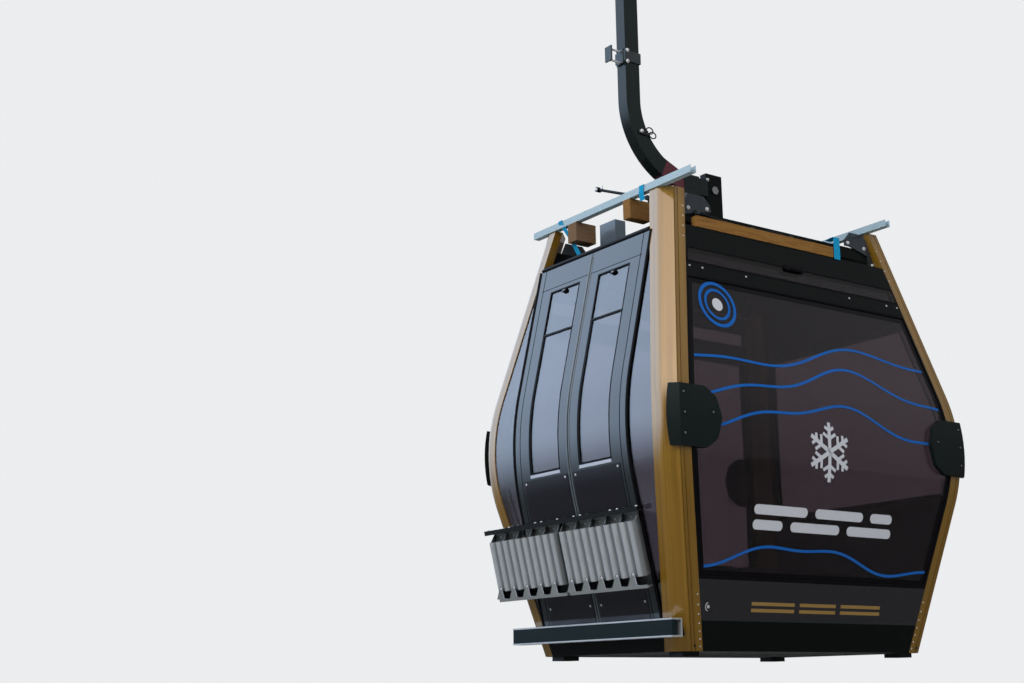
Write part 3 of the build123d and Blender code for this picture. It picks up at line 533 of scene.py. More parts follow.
class Graph:
    """Short hand for building a node tree."""

    def __init__(self, tree: bpy.types.NodeTree) -> None:
        """Takes the tree."""
        self.tree = tree

    def feed(self, target: Socket, value: object) -> None:
        """Links an input to a socket or sets its value, where a colour gets its fourth part.

        Args:
            target: the input.
            value: a socket, a number, a vector or a colour of three parts.
        """
        if isinstance(value, Socket):
            self.tree.links.new(value, target)
        elif target.type == "RGBA":
            target.default_value = (*value, 1)
        else:
            target.default_value = value

    def node(self, kind: str, inputs: dict | None = None, **settings: object) -> bpy.types.Node:
        """Adds a node.

        Args:
            kind: node type without the ShaderNode prefix.
            inputs: values or sockets by input name or index.
            settings: properties of the node.

        Returns:
            The node.
        """
        item = self.tree.nodes.new("ShaderNode" + kind)
        for key, value in settings.items():
            setattr(item, key, value)
        for key, value in (inputs or {}).items():
            self.feed(item.inputs[key], value)
        return item

    def group(self, name: str, **inputs: object) -> bpy.types.NodeOutputs:
        """Puts in one of the shared groups with its own values, and gives its outputs."""
        return self.node("Group", inputs, node_tree=shared_group(name)).outputs

    def math(self, operation: str, *terms: object) -> Socket:
        """Adds a Math node and gives its value."""
        return self.node("Math", dict(enumerate(terms)), operation=operation).outputs[0]

    def plus(self, *terms: object) -> Socket:
        """Adds values up, from left to right."""
        return reduce(lambda first, second: self.math("ADD", first, second), terms)

    def minus(self, first: object, second: object) -> Socket:
        """Takes the second value from the first."""
        return self.math("SUBTRACT", first, second)

    def times(self, *terms: object) -> Socket:
        """Multiplies values, from left to right."""
        return reduce(lambda first, second: self.math("MULTIPLY", first, second), terms)

    def vector(self, operation: str, first: object, second: object, output: int) -> Socket:
        """Adds a Vector Math node and gives its vector, output 0, or its value, output 1."""
        return self.node("VectorMath", {0: first, 1: second}, operation=operation).outputs[output]

    def mix(self, factor: object, first: object, second: object) -> Socket:
        """Mixes two colours and gives the result."""
        return self.node("Mix", {0: factor, 6: first, 7: second}, data_type="RGBA").outputs[2]

    def ramp(self, value: object, low: float, high: float) -> Socket:
        """Spreads the range low..high over 0..1 with smooth ends."""
        return self.node("MapRange", {0: value, 1: low, 2: high}, interpolation_type="SMOOTHSTEP").outputs[0]

    def place(self) -> Socket:
        """Object coordinates."""
        return self.node("TexCoord").outputs["Object"]

    def axes(self, vector: object) -> bpy.types.NodeOutputs:
        """The three parts of a vector."""
        return self.node("SeparateXYZ", {0: vector}).outputs

    def stretch(self, vector: object, scale: Point, turn: Point = (0.0, 0.0, 0.0)) -> Socket:
        """Turns and scales coordinates."""
        return self.node("Mapping", {0: vector, 2: turn, 3: scale}).outputs[0]

    def noise(self, vector: object, scale: object = 1.0, detail: float = 2.0, rough: float = 0.5) -> Socket:
        """Value of a noise texture."""
        inputs = {"Vector": vector, "Scale": scale, "Detail": detail, "Roughness": rough}
        return self.node("TexNoise", inputs).outputs[0]


Sockets = dict[str, Socket]


def build_dust(graph: Graph, given: Sockets) -> Sockets:
    """Dust and dried rain: cloudy patches, upright streaks, and more of both near the foot of the cabin.

    Args:
        graph: of the group.
        given: its inputs by name.

    Returns:
        Its outputs by name.
    """
    place = graph.place()
    cloud = graph.noise(place, 5.0, 6.0, 0.6)
    streak = graph.noise(graph.stretch(place, (38.0, 38.0, 1.6)), 1.0, 4.0, 0.55)
    speck = graph.noise(place, 420.0)
    low = graph.ramp(graph.axes(place)[2], FLOOR_LEVEL + 0.9, FLOOR_LEVEL)
    patch = graph.times(graph.ramp(cloud, 0.42, 0.75), 0.55)
    lines = graph.times(graph.ramp(streak, 0.5, 0.8), 0.7)
    total = graph.plus(patch, lines, graph.times(low, 0.45))
    total = graph.times(total, graph.ramp(speck, 0.3, 0.62), given["Amount"])
    mask = graph.math("MINIMUM", total, 1.0)
    color = graph.mix(mask, given["Color"], given["Dust"])
    rough = graph.plus(given["Roughness"], graph.times(mask, 0.45))
    return {"Color": color, "Roughness": rough, "Mask": mask}


def build_wear(graph: Graph, given: Sockets) -> Sockets:
    """Scratches and chips: thin lines where two stretched noises cross a level, and small chipped spots.

    Args:
        graph: of the group.
        given: its inputs by name.

    Returns:
        Its outputs by name.
    """
    place = graph.place()
    lines = []
    for turn, scale in (((0.5, 0.2, 0.9), 24.0), ((1.3, 0.8, -0.4), 31.0)):
        noise = graph.noise(graph.stretch(place, (scale, scale * 0.08, scale), turn), 1.0, 3.0)
        lines.append(graph.math("COMPARE", noise, 0.5, given["Width"]))
    chips = graph.math("GREATER_THAN", graph.noise(place, 60.0, 5.0, 0.7), 0.72)
    marks = reduce(lambda first, second: graph.math("MAXIMUM", first, second), (*lines, chips))
    mask = graph.times(marks, graph.ramp(graph.noise(place, 3.0), 0.45, 0.7), given["Amount"])
    return {"Color": graph.mix(mask, given["Color"], given["Bare"]), "Mask": mask}


def build_brushed(graph: Graph, given: Sockets) -> Sockets:
    """Rolled or brushed metal: fine lines along one axis, with broad stains, as a height and a roughness.

    Args:
        graph: of the group.
        given: its inputs by name.

    Returns:
        Its outputs by name.
    """
    place = graph.place()
    lines = graph.noise(graph.stretch(place, (900.0, 12.0, 900.0)))
    stain = graph.noise(place, 9.0, 5.0, 0.65)
    rough = graph.plus(given["Roughness"], graph.times(graph.minus(stain, 0.5), 0.35))
    rough = graph.plus(rough, graph.times(graph.minus(lines, 0.5), 0.12))
    shade = graph.times(graph.ramp(stain, 0.35, 0.8), given["Stain"])
    return {"Color": graph.mix(shade, given["Color"], given["Dark"]), "Roughness": rough, "Height": lines}


def build_streaks(graph: Graph, given: Sockets) -> Sockets:
    """Drawn profile: broad and fine streaks that follow the bend of the posts, as a mask for a paler tone.

    The lean of a post is slope * sqrt(rise^2 + softness), close to its two legs and the arc between them.

    Args:
        graph: of the group.
        given: its inputs by name.

    Returns:
        Its outputs by name.
    """
    softness = 0.027
    axes = graph.axes(graph.place())
    rise = graph.minus(axes[2], FLOOR_LEVEL + OUTLINE.belt_height)
    lean = graph.times(graph.math("SQRT", graph.math("MULTIPLY_ADD", rise, rise, softness)), OUTLINE.slope)
    sides = [graph.plus(graph.math("ABSOLUTE", axes[index]), lean) for index in (0, 1)]
    place = graph.node("CombineXYZ", {0: sides[0], 1: sides[1], 2: axes[2]}).outputs[0]
    wide = graph.noise(graph.stretch(place, (42.0, 42.0, 0.10)))
    thin = graph.noise(graph.stretch(place, (260.0, 260.0, 0.3)))
    mask = graph.plus(graph.times(wide, 0.85), graph.times(thin, 0.15))
    mask = graph.times(graph.ramp(mask, 0.36, 0.64), given["Amount"])
    return {"Color": graph.mix(mask, given["Color"], given["Light"]), "Mask": mask}


def build_spangle(graph: Graph, given: Sockets) -> Sockets:
    """Zinc crystals: each cell of a Voronoi pattern has its own grey and roughness.

    Args:
        graph: of the group.
        given: its inputs by name.

    Returns:
        Its outputs by name.
    """
    cells = graph.node("TexVoronoi", {"Vector": graph.place(), "Scale": 75.0, "Randomness": 1.0})
    value = graph.node("SeparateColor", {0: cells.outputs["Color"]}).outputs[0]
    tone = graph.times(graph.minus(value, 0.5), given["Contrast"])
    color = graph.mix(graph.plus(0.5, tone), given["Color"], given["Light"])
    return {"Color": color, "Roughness": graph.plus(given["Roughness"], graph.times(tone, 0.5))}


def build_peel(graph: Graph, given: Sockets) -> Sockets:
    """Height of a sprayed or moulded skin: two sizes of fine noise.

    Args:
        graph: of the group.
        given: its inputs by name.

    Returns:
        Its outputs by name.
    """
    place = graph.place()
    fine = graph.noise(place, given["Scale"])
    broad = graph.noise(place, graph.times(given["Scale"], 0.2))
    return {"Height": graph.plus(fine, graph.times(broad, 0.6))}


GRAY = (0.5, 0.5, 0.5)
PALE = (0.7, 0.7, 0.7)
GROUPS: dict[str, tuple[dict[str, object], str, Callable]] = {
    "dust": (
        {"Color": GRAY, "Dust": GRAY, "Roughness": 0.4, "Amount": 0.3}, "Color Roughness Mask", build_dust
    ),
    "wear": ({"Color": GRAY, "Bare": PALE, "Width": 0.004, "Amount": 0.5}, "Color Mask", build_wear),
    "brushed": (
        {"Color": GRAY, "Dark": GRAY, "Roughness": 0.4, "Stain": 0.35}, "Color Roughness Height",
        build_brushed
    ),
    "spangle": (
        {"Color": GRAY, "Light": PALE, "Roughness": 0.4, "Contrast": 0.4}, "Color Roughness", build_spangle
    ),
    "streaks": ({"Color": GRAY, "Light": PALE, "Amount": 0.5}, "Color Mask", build_streaks),
    "peel": ({"Scale": 700.0}, "Height", build_peel),
}


def shared_group(name: str) -> bpy.types.NodeTree:
    """Gives one of the shared node groups, made at the first call.

    Args:
        name: its name in GROUPS, which holds its inputs, outputs and builder.

    Returns:
        The group.
    """
    if name in bpy.data.node_groups:
        return bpy.data.node_groups[name]
    inputs, outputs, build = GROUPS[name]
    tree = bpy.data.node_groups.new(name, "ShaderNodeTree")
    graph = Graph(tree)
    for key, value in inputs.items():
        kind = "NodeSocketColor" if isinstance(value, tuple) else "NodeSocketFloat"
        socket = tree.interface.new_socket(key, in_out="INPUT", socket_type=kind)
        socket.default_value = (*value, 1) if isinstance(value, tuple) else value
    for key in outputs.split():
        kind = "NodeSocketColor" if key == "Color" else "NodeSocketFloat"
        tree.interface.new_socket(key, in_out="OUTPUT", socket_type=kind)
    source = tree.nodes.new("NodeGroupInput")
    target = tree.nodes.new("NodeGroupOutput")
    for key, socket in build(graph, source.outputs).items():
        tree.links.new(socket, target.inputs[key])
    return tree


class Skin(Enum):
    """What lies under a finish: a sprayed or moulded skin, drawn metal, or zinc crystals."""

    PEEL = "peel"
    BRUSHED = "brushed"
    SPANGLE = "spangle"


@dataclass(frozen=True)
class Finish:
    """A finish with its colour, gloss, skin, dust and wear."""

    name: str
    slot: str
    color: Color
    roughness: float = 0.4
    metallic: float = 0.0
    specular: float = 0.5
    coat: float = 0.0
    coat_ior: float = 1.5
    coat_roughness: float = 0.1
    skin: Skin = Skin.PEEL
    skin_scale: float = 700.0
    bump: float = 0.05
    dust: float = 0.25
    dust_color: Color = (0.40, 0.37, 0.32)
    wear: float = 0.0
    bare: Color = (0.5, 0.5, 0.5)
    stain_shade: float = 0.45
    crystal_light: float = 1.35

    def material(self) -> bpy.types.Material:
        """Gives the material, made at the first call."""
        return bpy.data.materials.get(self.name) or self.build()

    def base_color(self, graph: Graph) -> object:
        """Colour under the dust, which a finish with a pattern replaces."""
        return self.color

    def extra(self) -> dict[str, float]:
        """Shader inputs that only some finishes set."""
        return {}

    def build(self) -> bpy.types.Material:
        """Builds the material: skin, then wear, then dust, into one shader.

        Returns:
            The material.
        """
        item = bpy.data.materials.new(self.name)
        item.use_nodes = True
        graph = Graph(item.node_tree)
        color, rough, height = self.base_color(graph), self.roughness, None
        if self.skin is Skin.BRUSHED:
            dark = tuple(self.stain_shade * part for part in self.color)
            skin = graph.group("brushed", Color=color, Dark=dark, Roughness=rough)
            color, rough, height = skin["Color"], skin["Roughness"], skin["Height"]
        elif self.skin is Skin.SPANGLE:
            light = tuple(min(1.0, self.crystal_light * part) for part in self.color)
            skin = graph.group("spangle", Color=color, Light=light, Roughness=rough)
            color, rough = skin["Color"], skin["Roughness"]
        if height is None:
            height = graph.group("peel", Scale=self.skin_scale)["Height"]
        if self.wear:
            color = graph.group("wear", Color=color, Bare=self.bare, Amount=self.wear)["Color"]
        dust = graph.group("dust", Color=color, Dust=self.dust_color, Roughness=rough, Amount=self.dust)
        bump = graph.node("Bump", {"Strength": self.bump, "Distance": MILLIMETRE, "Height": height})
        values = {
            "Base Color": dust["Color"], "Roughness": dust["Roughness"], "Metallic": self.metallic,
            "Specular IOR Level": self.specular, "Coat Weight": self.coat, "Coat IOR": self.coat_ior,
            "Coat Roughness": self.coat_roughness, "Normal": bump.outputs[0], **self.extra(),
        }
        for key, value in values.items():
            graph.feed(item.node_tree.nodes["Principled BSDF"].inputs[key], value)
        return item


@dataclass(frozen=True)
class GlassFinish(Finish):
    """Tinted see-through pane with faint dust."""

    ior: float = 1.49

    def extra(self) -> dict[str, float]:
        """Makes the shader see-through."""
        return {"Transmission Weight": 1.0, "IOR": self.ior}


@dataclass(frozen=True)
class StreakFinish(Finish):
    """Lacquered profile with paler streaks along its length."""

    pale: Color = (0.320, 0.175, 0.018)
    streak: float = 0.6

    def base_color(self, graph: Graph) -> object:
        """Mixes the two tones of the lacquer by the streaks."""
        return graph.group("streaks", Color=self.color, Light=self.pale, Amount=self.streak)["Color"]


@dataclass(frozen=True)
class RackFinish(Finish):
    """Rolled sheet of the racks, with painted shade in the troughs of its waves, which lie nearer to the
    wall.
    """

    # Painted shade of the troughs, mixed in where the sheet lies nearer to the wall.
    trough_shade: Color = (0.17, 0.185, 0.195)
    root: Point = (-1.0193, 0.0, FLOOR_LEVEL + 0.340)
    out: Point = (-0.9746, 0.0, -0.2241)
    depths: Pair = (0.0905, 0.1015)

    def base_color(self, graph: Graph) -> object:
        """Mixes the painted trough shade into the sheet's tone by the distance from the wall.

        Args:
            graph: of the material.

        Returns:
            The colour.
        """
        away = graph.vector("SUBTRACT", graph.place(), self.root, 0)
        return graph.mix(graph.ramp(graph.vector("DOT_PRODUCT", away, self.out, 1), *self.depths),
                         self.trough_shade, self.color)


@dataclass(frozen=True)
class ArmFinish(Finish):
    """Lacquer of the hanger arm, with a maroon foot behind a slanted cut, and lacquer again past a sleeve."""

    foot: Color = (0.085, 0.022, 0.032)
    cut: tuple[Pair, Pair] = ((-0.444, -2.044), (-0.387, -1.923))
    sleeve: float = -0.262
    foot_top: float = -1.2

    def base_color(self, graph: Graph) -> object:
        """Chooses between the two colours by place along the foot.

        Args:
            graph: of the material.

        Returns:
            The colour.
        """
        axes = graph.axes(graph.place())
        (x0, z0), (x1, z1) = self.cut
        across = graph.times(graph.minus(axes[0], x0), z1 - z0)
        along = graph.times(graph.minus(axes[2], z0), x1 - x0)
        past = graph.math("GREATER_THAN", graph.minus(across, along), 0.0)
        below = graph.math("LESS_THAN", axes[2], self.foot_top)
        before = graph.math("LESS_THAN", axes[0], self.sleeve)
        return graph.mix(graph.times(past, below, before), self.color, self.foot)


@dataclass(frozen=True)
class TimberFinish(Finish):
    """Sawn softwood: rings from a stretched noise, fine fibres along X, and greyer towards the far end."""

    dark: Color = (0.15, 0.065, 0.018)
    weathered: Color = (0.125, 0.10, 0.08)
    weathered_span: Pair = (-0.5, 0.3)

    def base_color(self, graph: Graph) -> object:
        """Mixes early and late wood by the ring pattern.

        Args:
            graph: of the material.

        Returns:
            The colour.
        """
        place = graph.place()
        wobble = graph.noise(graph.stretch(place, (0.5, 9.0, 9.0), (0.05, 0.03, 0.02)), 3.0, 5.0)
        rings = graph.math("FRACT", graph.times(wobble, 9.0))
        fibre = graph.noise(graph.stretch(place, (14.0, 700.0, 700.0)), 1.0, 3.0)
        old = graph.times(graph.ramp(graph.axes(place)[1], *self.weathered_span), 0.85)
        late = graph.times(graph.ramp(rings, 0.45, 0.95), 0.75)
        color = graph.mix(late, graph.mix(old, self.color, self.weathered), self.dark)
        return graph.mix(graph.times(fibre, 0.35), color, self.dark)


GOLD = StreakFinish(
    "gold_lacquer", "gold_paint", (0.215, 0.108, 0.004), roughness=0.30, metallic=0.30, coat=1.0,
    coat_ior=1.85, coat_roughness=0.12, bump=0.004, skin_scale=400.0, dust=0.015,
    dust_color=(0.30, 0.22, 0.10))
GROOVE = Finish("groove_shadow", "gold_paint", (0.040, 0.020, 0.004), roughness=0.6, specular=0.1, dust=0.0)
BLACK = Finish(
    "black_lacquer", "black_paint", (0.0035, 0.005, 0.005), roughness=0.34, specular=0.12, dust=0.004)
FRAME = Finish(
    "frame_lacquer", "black_paint", (0.012, 0.018, 0.021), roughness=0.22, specular=0.2, coat=1.0,
    coat_ior=1.6, dust=0.006)
BEAD = Finish(
    "door_bead", "black_paint", (0.070, 0.088, 0.098), roughness=0.28, coat=0.6, coat_ior=1.7, dust=0.02)
PANEL = Finish(
    "black_panel", "black_panel", (0.005, 0.006, 0.007), roughness=0.12, specular=0.2, dust=0.006)
PLATE = Finish(
    "door_plate", "black_panel", (0.010, 0.010, 0.015), roughness=0.12, specular=0.3, coat=0.5, dust=0.006)
RUBBER = Finish(
    "black_rubber", "bumper_rubber", (0.005, 0.009, 0.009), specular=0.2, bump=0.18, skin_scale=1400.0,
    dust=0.01)
# Near-black rubber of the seals and catches, also the painted shade of the door reveals and bumper recesses.
SEAL_AND_SHADE = Finish(
    "seal_rubber_and_shade", "bumper_rubber", (0.003, 0.003, 0.004), roughness=0.5, specular=0.1, bump=0.1,
    skin_scale=1400.0, dust=0.008)
END_GLASS = GlassFinish(
    "end_pane", "tinted_glass", (0.185, 0.150, 0.170), roughness=0.015, bump=0.0, dust=0.006, ior=1.47)
DOOR_GLASS = GlassFinish(
    "door_pane", "tinted_glass", (0.24, 0.24, 0.31), roughness=0.015, coat=1.0, coat_ior=1.75,
    coat_roughness=0.01, bump=0.0, dust=0.006)
RACK = RackFinish(
    "rack_sheet", "rack_aluminium", (0.44, 0.475, 0.50), roughness=0.42, metallic=0.4, skin=Skin.BRUSHED,
    bump=0.1, dust=0.06, wear=0.3, bare=(0.55, 0.56, 0.58))
# Darker copy of the rack sheet for the frames inside the racks: painted shade.
RACK_INSIDE_SHADE = Finish(
    "rack_inside_shade", "rack_aluminium", (0.25, 0.27, 0.27), roughness=0.45, metallic=0.4, skin=Skin.BRUSHED,
    bump=0.1, dust=0.15)
BAR = Finish(
    "rack_bar_lacquer", "black_paint", (0.008, 0.010, 0.011), roughness=0.32, specular=0.3, dust=0.01)
RAIL = Finish(
    "guide_rail_sheet", "rack_aluminium", (0.46, 0.48, 0.50), roughness=0.34, metallic=0.5,
    skin=Skin.BRUSHED, bump=0.08, dust=0.08)
ARM = ArmFinish(
    "hanger_lacquer", "hanger_paint", (0.007, 0.0115, 0.012), roughness=0.24, specular=0.25, coat=0.15,
    dust=0.015, wear=0.06, bare=(0.06, 0.07, 0.07))
HUB = Finish("hub_lacquer", "hanger_paint", (0.011, 0.015, 0.017), roughness=0.30, coat=0.3, dust=0.06)
MAROON = Finish(
    "maroon_lacquer", "maroon_paint", (0.085, 0.022, 0.032), roughness=0.32, coat=0.3, dust=0.08)
ZINC = Finish(
    "zinc_coat", "galvanised", (0.270, 0.355, 0.395), roughness=0.45, metallic=0.2, specular=0.3,
    skin=Skin.SPANGLE, dust=0.03)
DARK_ZINC = Finish(
    "clamp_zinc", "galvanised", (0.050, 0.060, 0.064), roughness=0.42, metallic=0.6, skin=Skin.SPANGLE,
    dust=0.05)
SLATE = Finish("gusset_lacquer", "black_paint", (0.016, 0.022, 0.030), roughness=0.26, coat=0.5, dust=0.03)
STEEL = Finish(
    "turned_steel", "steel", (0.55, 0.55, 0.56), roughness=0.28, metallic=1.0, skin=Skin.BRUSHED,
    bump=0.06, dust=0.08)
CAST = Finish(
    "cast_steel_paint", "cast_steel", (0.20, 0.215, 0.23), roughness=0.48, metallic=0.35, bump=0.3,
    skin_scale=260.0, wear=0.3, bare=(0.45, 0.45, 0.46))
TREAD = Finish(
    "roller_tread", "roller_rubber", (0.04, 0.04, 0.042), roughness=0.6, bump=0.2, skin_scale=900.0,
    dust=0.2)
SEAT = Finish(
    "seat_cover", "seat_cover", (0.045, 0.045, 0.052), roughness=0.62, bump=0.4, skin_scale=500.0, dust=0.1)
SEAM = Finish("seat_seam", "seat_cover", (0.012, 0.012, 0.014), roughness=0.7, bump=0.2, dust=0.0)
TIMBER = TimberFinish(
    "sawn_timber", "bare_timber", (0.235, 0.120, 0.030), roughness=0.70, specular=0.15, bump=0.3,
    skin_scale=350.0, dust=0.05)
BOX = Finish("drive_box_paint", "grey_box", (0.085, 0.115, 0.145), roughness=0.36, coat=0.3, dust=0.08)
FLOOR = Finish(
    "floor_sheet", "floor_alu", (0.22, 0.23, 0.24), roughness=0.5, metallic=0.6, skin=Skin.BRUSHED,
    bump=0.1, dust=0.3)
# Bright steel of screws, rivets, bolts and sleeves, also the painted highlight arc on the near end's lock.
SCREW = Finish("screw_steel_and_glint", "steel", (0.72, 0.72, 0.73), roughness=0.30, metallic=0.5, dust=0.02)
DARK_SCREW = Finish(
    "dark_screw", "black_paint", (0.02, 0.02, 0.022), roughness=0.35, metallic=0.3, dust=0.03)
# Pale finish of the door window ledges, also the painted highlights along the rack teeth's edges.
LEDGE_AND_HIGHLIGHT = Finish(
    "window_ledge_and_highlight", "rack_aluminium", (0.46, 0.50, 0.60), roughness=0.3, metallic=0.2, coat=0.3, dust=0.04)
INFILL = Finish(
    "rail_infill", "black_panel", (0.006, 0.013, 0.016), roughness=0.25, specular=0.06, dust=0.01)
SUNK = Finish("sunk_screw", "steel", (0.16, 0.17, 0.175), roughness=0.35, metallic=0.4, dust=0.02)
WHITE = Finish(
    "white_film", "black_paint", (0.50, 0.52, 0.57), roughness=0.3, coat=0.2, dust=0.03,
    dust_color=(0.3, 0.28, 0.25))
BLUE = Finish("blue_film", "black_paint", (0.003, 0.095, 0.38), roughness=0.3, specular=0.2, dust=0.01)
GOLD_FILM = Finish("gold_film", "gold_paint", (0.26, 0.160, 0.045), roughness=0.35, specular=0.2, dust=0.02)
PRINT = Finish(
    "print_border", "black_paint", (0.003, 0.003, 0.004), roughness=0.14, specular=0.18, dust=0.0)
STRAP = Finish(
    "strap_weave", "black_paint", (0.005, 0.25, 0.48), roughness=0.62, specular=0.2, bump=0.5,
    skin_scale=1600.0, dust=0.02)

NODE_FINISH: dict[Finish, str] = {
    GOLD: "corner_posts",
    RUBBER: "bumpers foot_pads yoke_buffers roof_cable",
    END_GLASS: "end_windows far_window end_vents",
    DOOR_GLASS: "door_windows side_windows door_vents",
    RACK: "ski_rack_fronts ski_rack_dividers",
    RACK_INSIDE_SHADE: "ski_rack_frames",
    BAR: "ski_rack_bar",
    RAIL: "guide_rail",
    ARM: "hanger_arm",
    HUB: "hanger_hub",
    MAROON: "hanger_gusset",
    ZINC: "roof_channels",
    DARK_ZINC: "hanger_bracket cable_clips",
    SLATE: "roof_gussets",
    STEEL: "pivot_pin jaw_pin yoke_pin roller_axles friction_plate grab_rails",
    CAST: "grip_body grip_jaw grip_lever",
    TREAD: "running_roller_far running_roller_near coupling_roller",
    SEAT: "bench_seats",
    TIMBER: "timber_batten timber_blocks",
    BOX: "door_drive",
    FLOOR: "floor_plate floor_beams",
    PANEL: "end_lower_panels door_panels far_lower_panel",
    FRAME: "door_leaf_far door_leaf_near door_portal",
}


# Sub-assemblies: the studio, the solids' finishes and the trim


@dataclass
class Studio:
    """Camera, lamps, floor and backdrop. Angles are in degrees."""

    position: Point = (-5.9368, -6.2715, -5.0834)
    yaw: float = 35.0107
    pitch: float = 13.661
    roll: float = -0.6474
    focal_px: float = 1433.43
    sensor: float = 36.0
    far_clip: float = 200.0
    backdrop: Color = (0.84, 0.85, 0.86)
    bright_side: Point = (-0.6, 0.75, 0.28)
    bright_front: Point = (-0.69, -0.47, 0.55)
    bright_span: Pair = (0.2, 0.85)
    front_span: Pair = (0.82, 0.97)
    front_rise: Pair = (0.3, 0.5)
    front_color: Color = (1.85, 1.82, 1.9)
    bright_sky: Gradient = ((-0.12, 0.22), (0.10, 0.105, 0.11), (1.26, 1.60, 2.12))
    dark_sky: Gradient = ((-0.3, 0.5), (0.07, 0.07, 0.07), (0.28, 0.28, 0.29))
    lit_sky: Gradient = ((-0.3, 0.6), (0.17, 0.17, 0.17), (0.34, 0.35, 0.37))
    lamp_color: Color = (1.0, 0.992, 0.975)
    lamp_aim: Point = (0.0, 0.0, -3.6)
    lamps: tuple[tuple[str, Point, float, float], ...] = (
        ("key", (-9.0, -3.5, 1.5), 6.0, 760.0),
        ("fill", (-1.5, -9.0, 0.5), 4.0, 230.0),
        ("back", (6.0, 6.0, 1.5), 4.0, 300.0),
    )
    floor: float = -5.16
    floor_half: float = 40.0
    floor_color: Color = (0.72, 0.72, 0.71)
    floor_roughness: float = 0.8
    floor_specular: float = 0.2
    far_floor: Pair = (7.0, 22.0)
    far_glow: float = 0.55

    def camera(self) -> None:
        """Places the camera where the photograph's stood: forward from yaw and pitch, then rolled."""
        yaw, pitch, roll = np.radians((self.yaw, self.pitch, self.roll))
        forward = np.array((np.sin(yaw) * np.cos(pitch), np.cos(yaw) * np.cos(pitch), np.sin(pitch)))
        right = np.array((np.cos(yaw), -np.sin(yaw), 0.0))
        up = np.cross(right, forward)
        right, up = right * np.cos(roll) + up * np.sin(roll), up * np.cos(roll) - right * np.sin(roll)
        lens = bpy.data.cameras.new("camera")
        lens.sensor_width = self.sensor
        lens.lens = self.focal_px * self.sensor / PICTURE_WIDTH
        lens.clip_end = self.far_clip
        item = bpy.data.objects.new("camera", lens)
        columns = np.stack((right, up, -forward), axis=1)
        item.matrix_world = Matrix.Translation(self.position) @ Matrix(columns.tolist()).to_4x4()
        bpy.context.scene.collection.objects.link(item)
        bpy.context.scene.camera = item

    def lamp(self, name: str, place: Point, size: float, watts: float) -> None:
        """Adds a soft square lamp that points at the cabin, and that gloss doesn't show.

        Args:
            name: the lamp's name.
            place: where it stands.
            size: of its side.
            watts: its power.
        """
        data = bpy.data.lights.new(name, "AREA")
        data.shape, data.size, data.energy, data.color = "SQUARE", size, watts, self.lamp_color
        item = bpy.data.objects.new(name, data)
        item.location = place
        item.rotation_euler = (Vector(self.lamp_aim) - Vector(place)).to_track_quat("-Z", "Y").to_euler()
        item.visible_glossy = False
        bpy.context.scene.collection.objects.link(item)

    def world(self) -> None:
        """Sets the surroundings: pale for camera and glass rays, dim for what lights.

        Mirror rays see a bright sky on one side, a bright patch in front and a dim remainder.
        """
        sky = bpy.data.worlds.new("studio")
        sky.use_nodes = True
        bpy.context.scene.world = sky
        graph = Graph(sky.node_tree)
        light = graph.node("LightPath").outputs
        seen = graph.math("MAXIMUM", light["Is Camera Ray"], light["Is Transmission Ray"])
        way = graph.node("TexCoord").outputs["Generated"]
        rise = graph.axes(way)[2]
        sides = (self.bright_side, self.bright_front)
        toward, ahead = (graph.vector("DOT_PRODUCT", way, side, 1) for side in sides)
        skies = (self.bright_sky, self.dark_sky, self.lit_sky)
        bright, dark, lit = (graph.mix(graph.ramp(rise, *span), *colors) for span, *colors in skies)
        mirror = graph.mix(graph.ramp(toward, *self.bright_span), dark, bright)
        front = graph.times(graph.ramp(ahead, *self.front_span), graph.ramp(rise, *self.front_rise))
        mirror = graph.mix(front, mirror, self.front_color)
        shown = graph.mix(light["Is Glossy Ray"], lit, mirror)
        graph.feed(sky.node_tree.nodes["Background"].inputs["Color"], graph.mix(seen, shown, self.backdrop))

    def floor_plane(self) -> None:
        """Lays a plain floor, evenly pale to the camera far from the cabin, and see-through from below."""
        half = self.floor_half
        corners = [(x * half, y * half, self.floor) for x, y in ((-1, -1), (1, -1), (1, 1), (-1, 1))]
        data = bpy.data.meshes.new("studio_floor")
        data.from_pydata(corners, [], [(0, 1, 2, 3)])
        item = bpy.data.objects.new("studio_floor", data)
        bpy.context.scene.collection.objects.link(item)
        paint = bpy.data.materials.new("studio_floor")
        paint.use_nodes = True
        graph = Graph(paint.node_tree)
        away = graph.node("VectorMath", {0: graph.place()}, operation="LENGTH").outputs["Value"]
        camera_ray = graph.node("LightPath").outputs["Is Camera Ray"]
        glow = graph.times(graph.ramp(away, *self.far_floor), camera_ray, self.far_glow)
        shader = paint.node_tree.nodes["Principled BSDF"]
        values = {
            "Base Color": self.floor_color, "Roughness": self.floor_roughness,
            "Specular IOR Level": self.floor_specular, "Emission Color": self.backdrop,
            "Emission Strength": glow,
        }
        for key, value in values.items():
            graph.feed(shader.inputs[key], value)
        below = graph.times(graph.node("NewGeometry").outputs["Backfacing"], camera_ray)
        clear = graph.node("BsdfTransparent").outputs[0]
        sheet = graph.node("MixShader", {0: below, 1: shader.outputs[0], 2: clear}).outputs[0]
        graph.feed(paint.node_tree.nodes["Material Output"].inputs["Surface"], sheet)
        data.materials.append(paint)
        item.visible_glossy = False

    def build(self) -> None:
        """Sets up the whole studio."""
        bpy.context.scene.view_settings.view_transform = "Standard"
        self.camera()
        self.world()
        self.floor_plane()
        for settings in self.lamps:
            self.lamp(*settings)


class Solids:
    """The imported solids, which only get their finishes here."""

    def build(self) -> None:
        """Puts a finish in the slots of every solid."""
        chosen = {node: finish for finish, nodes in NODE_FINISH.items() for node in nodes.split()}
        for name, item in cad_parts.items():
            finish = chosen.get(name, BLACK)
            item.data.materials.clear()
            item.data.materials.append(finish.material())
            log.info("%s: %s", name, finish.name)


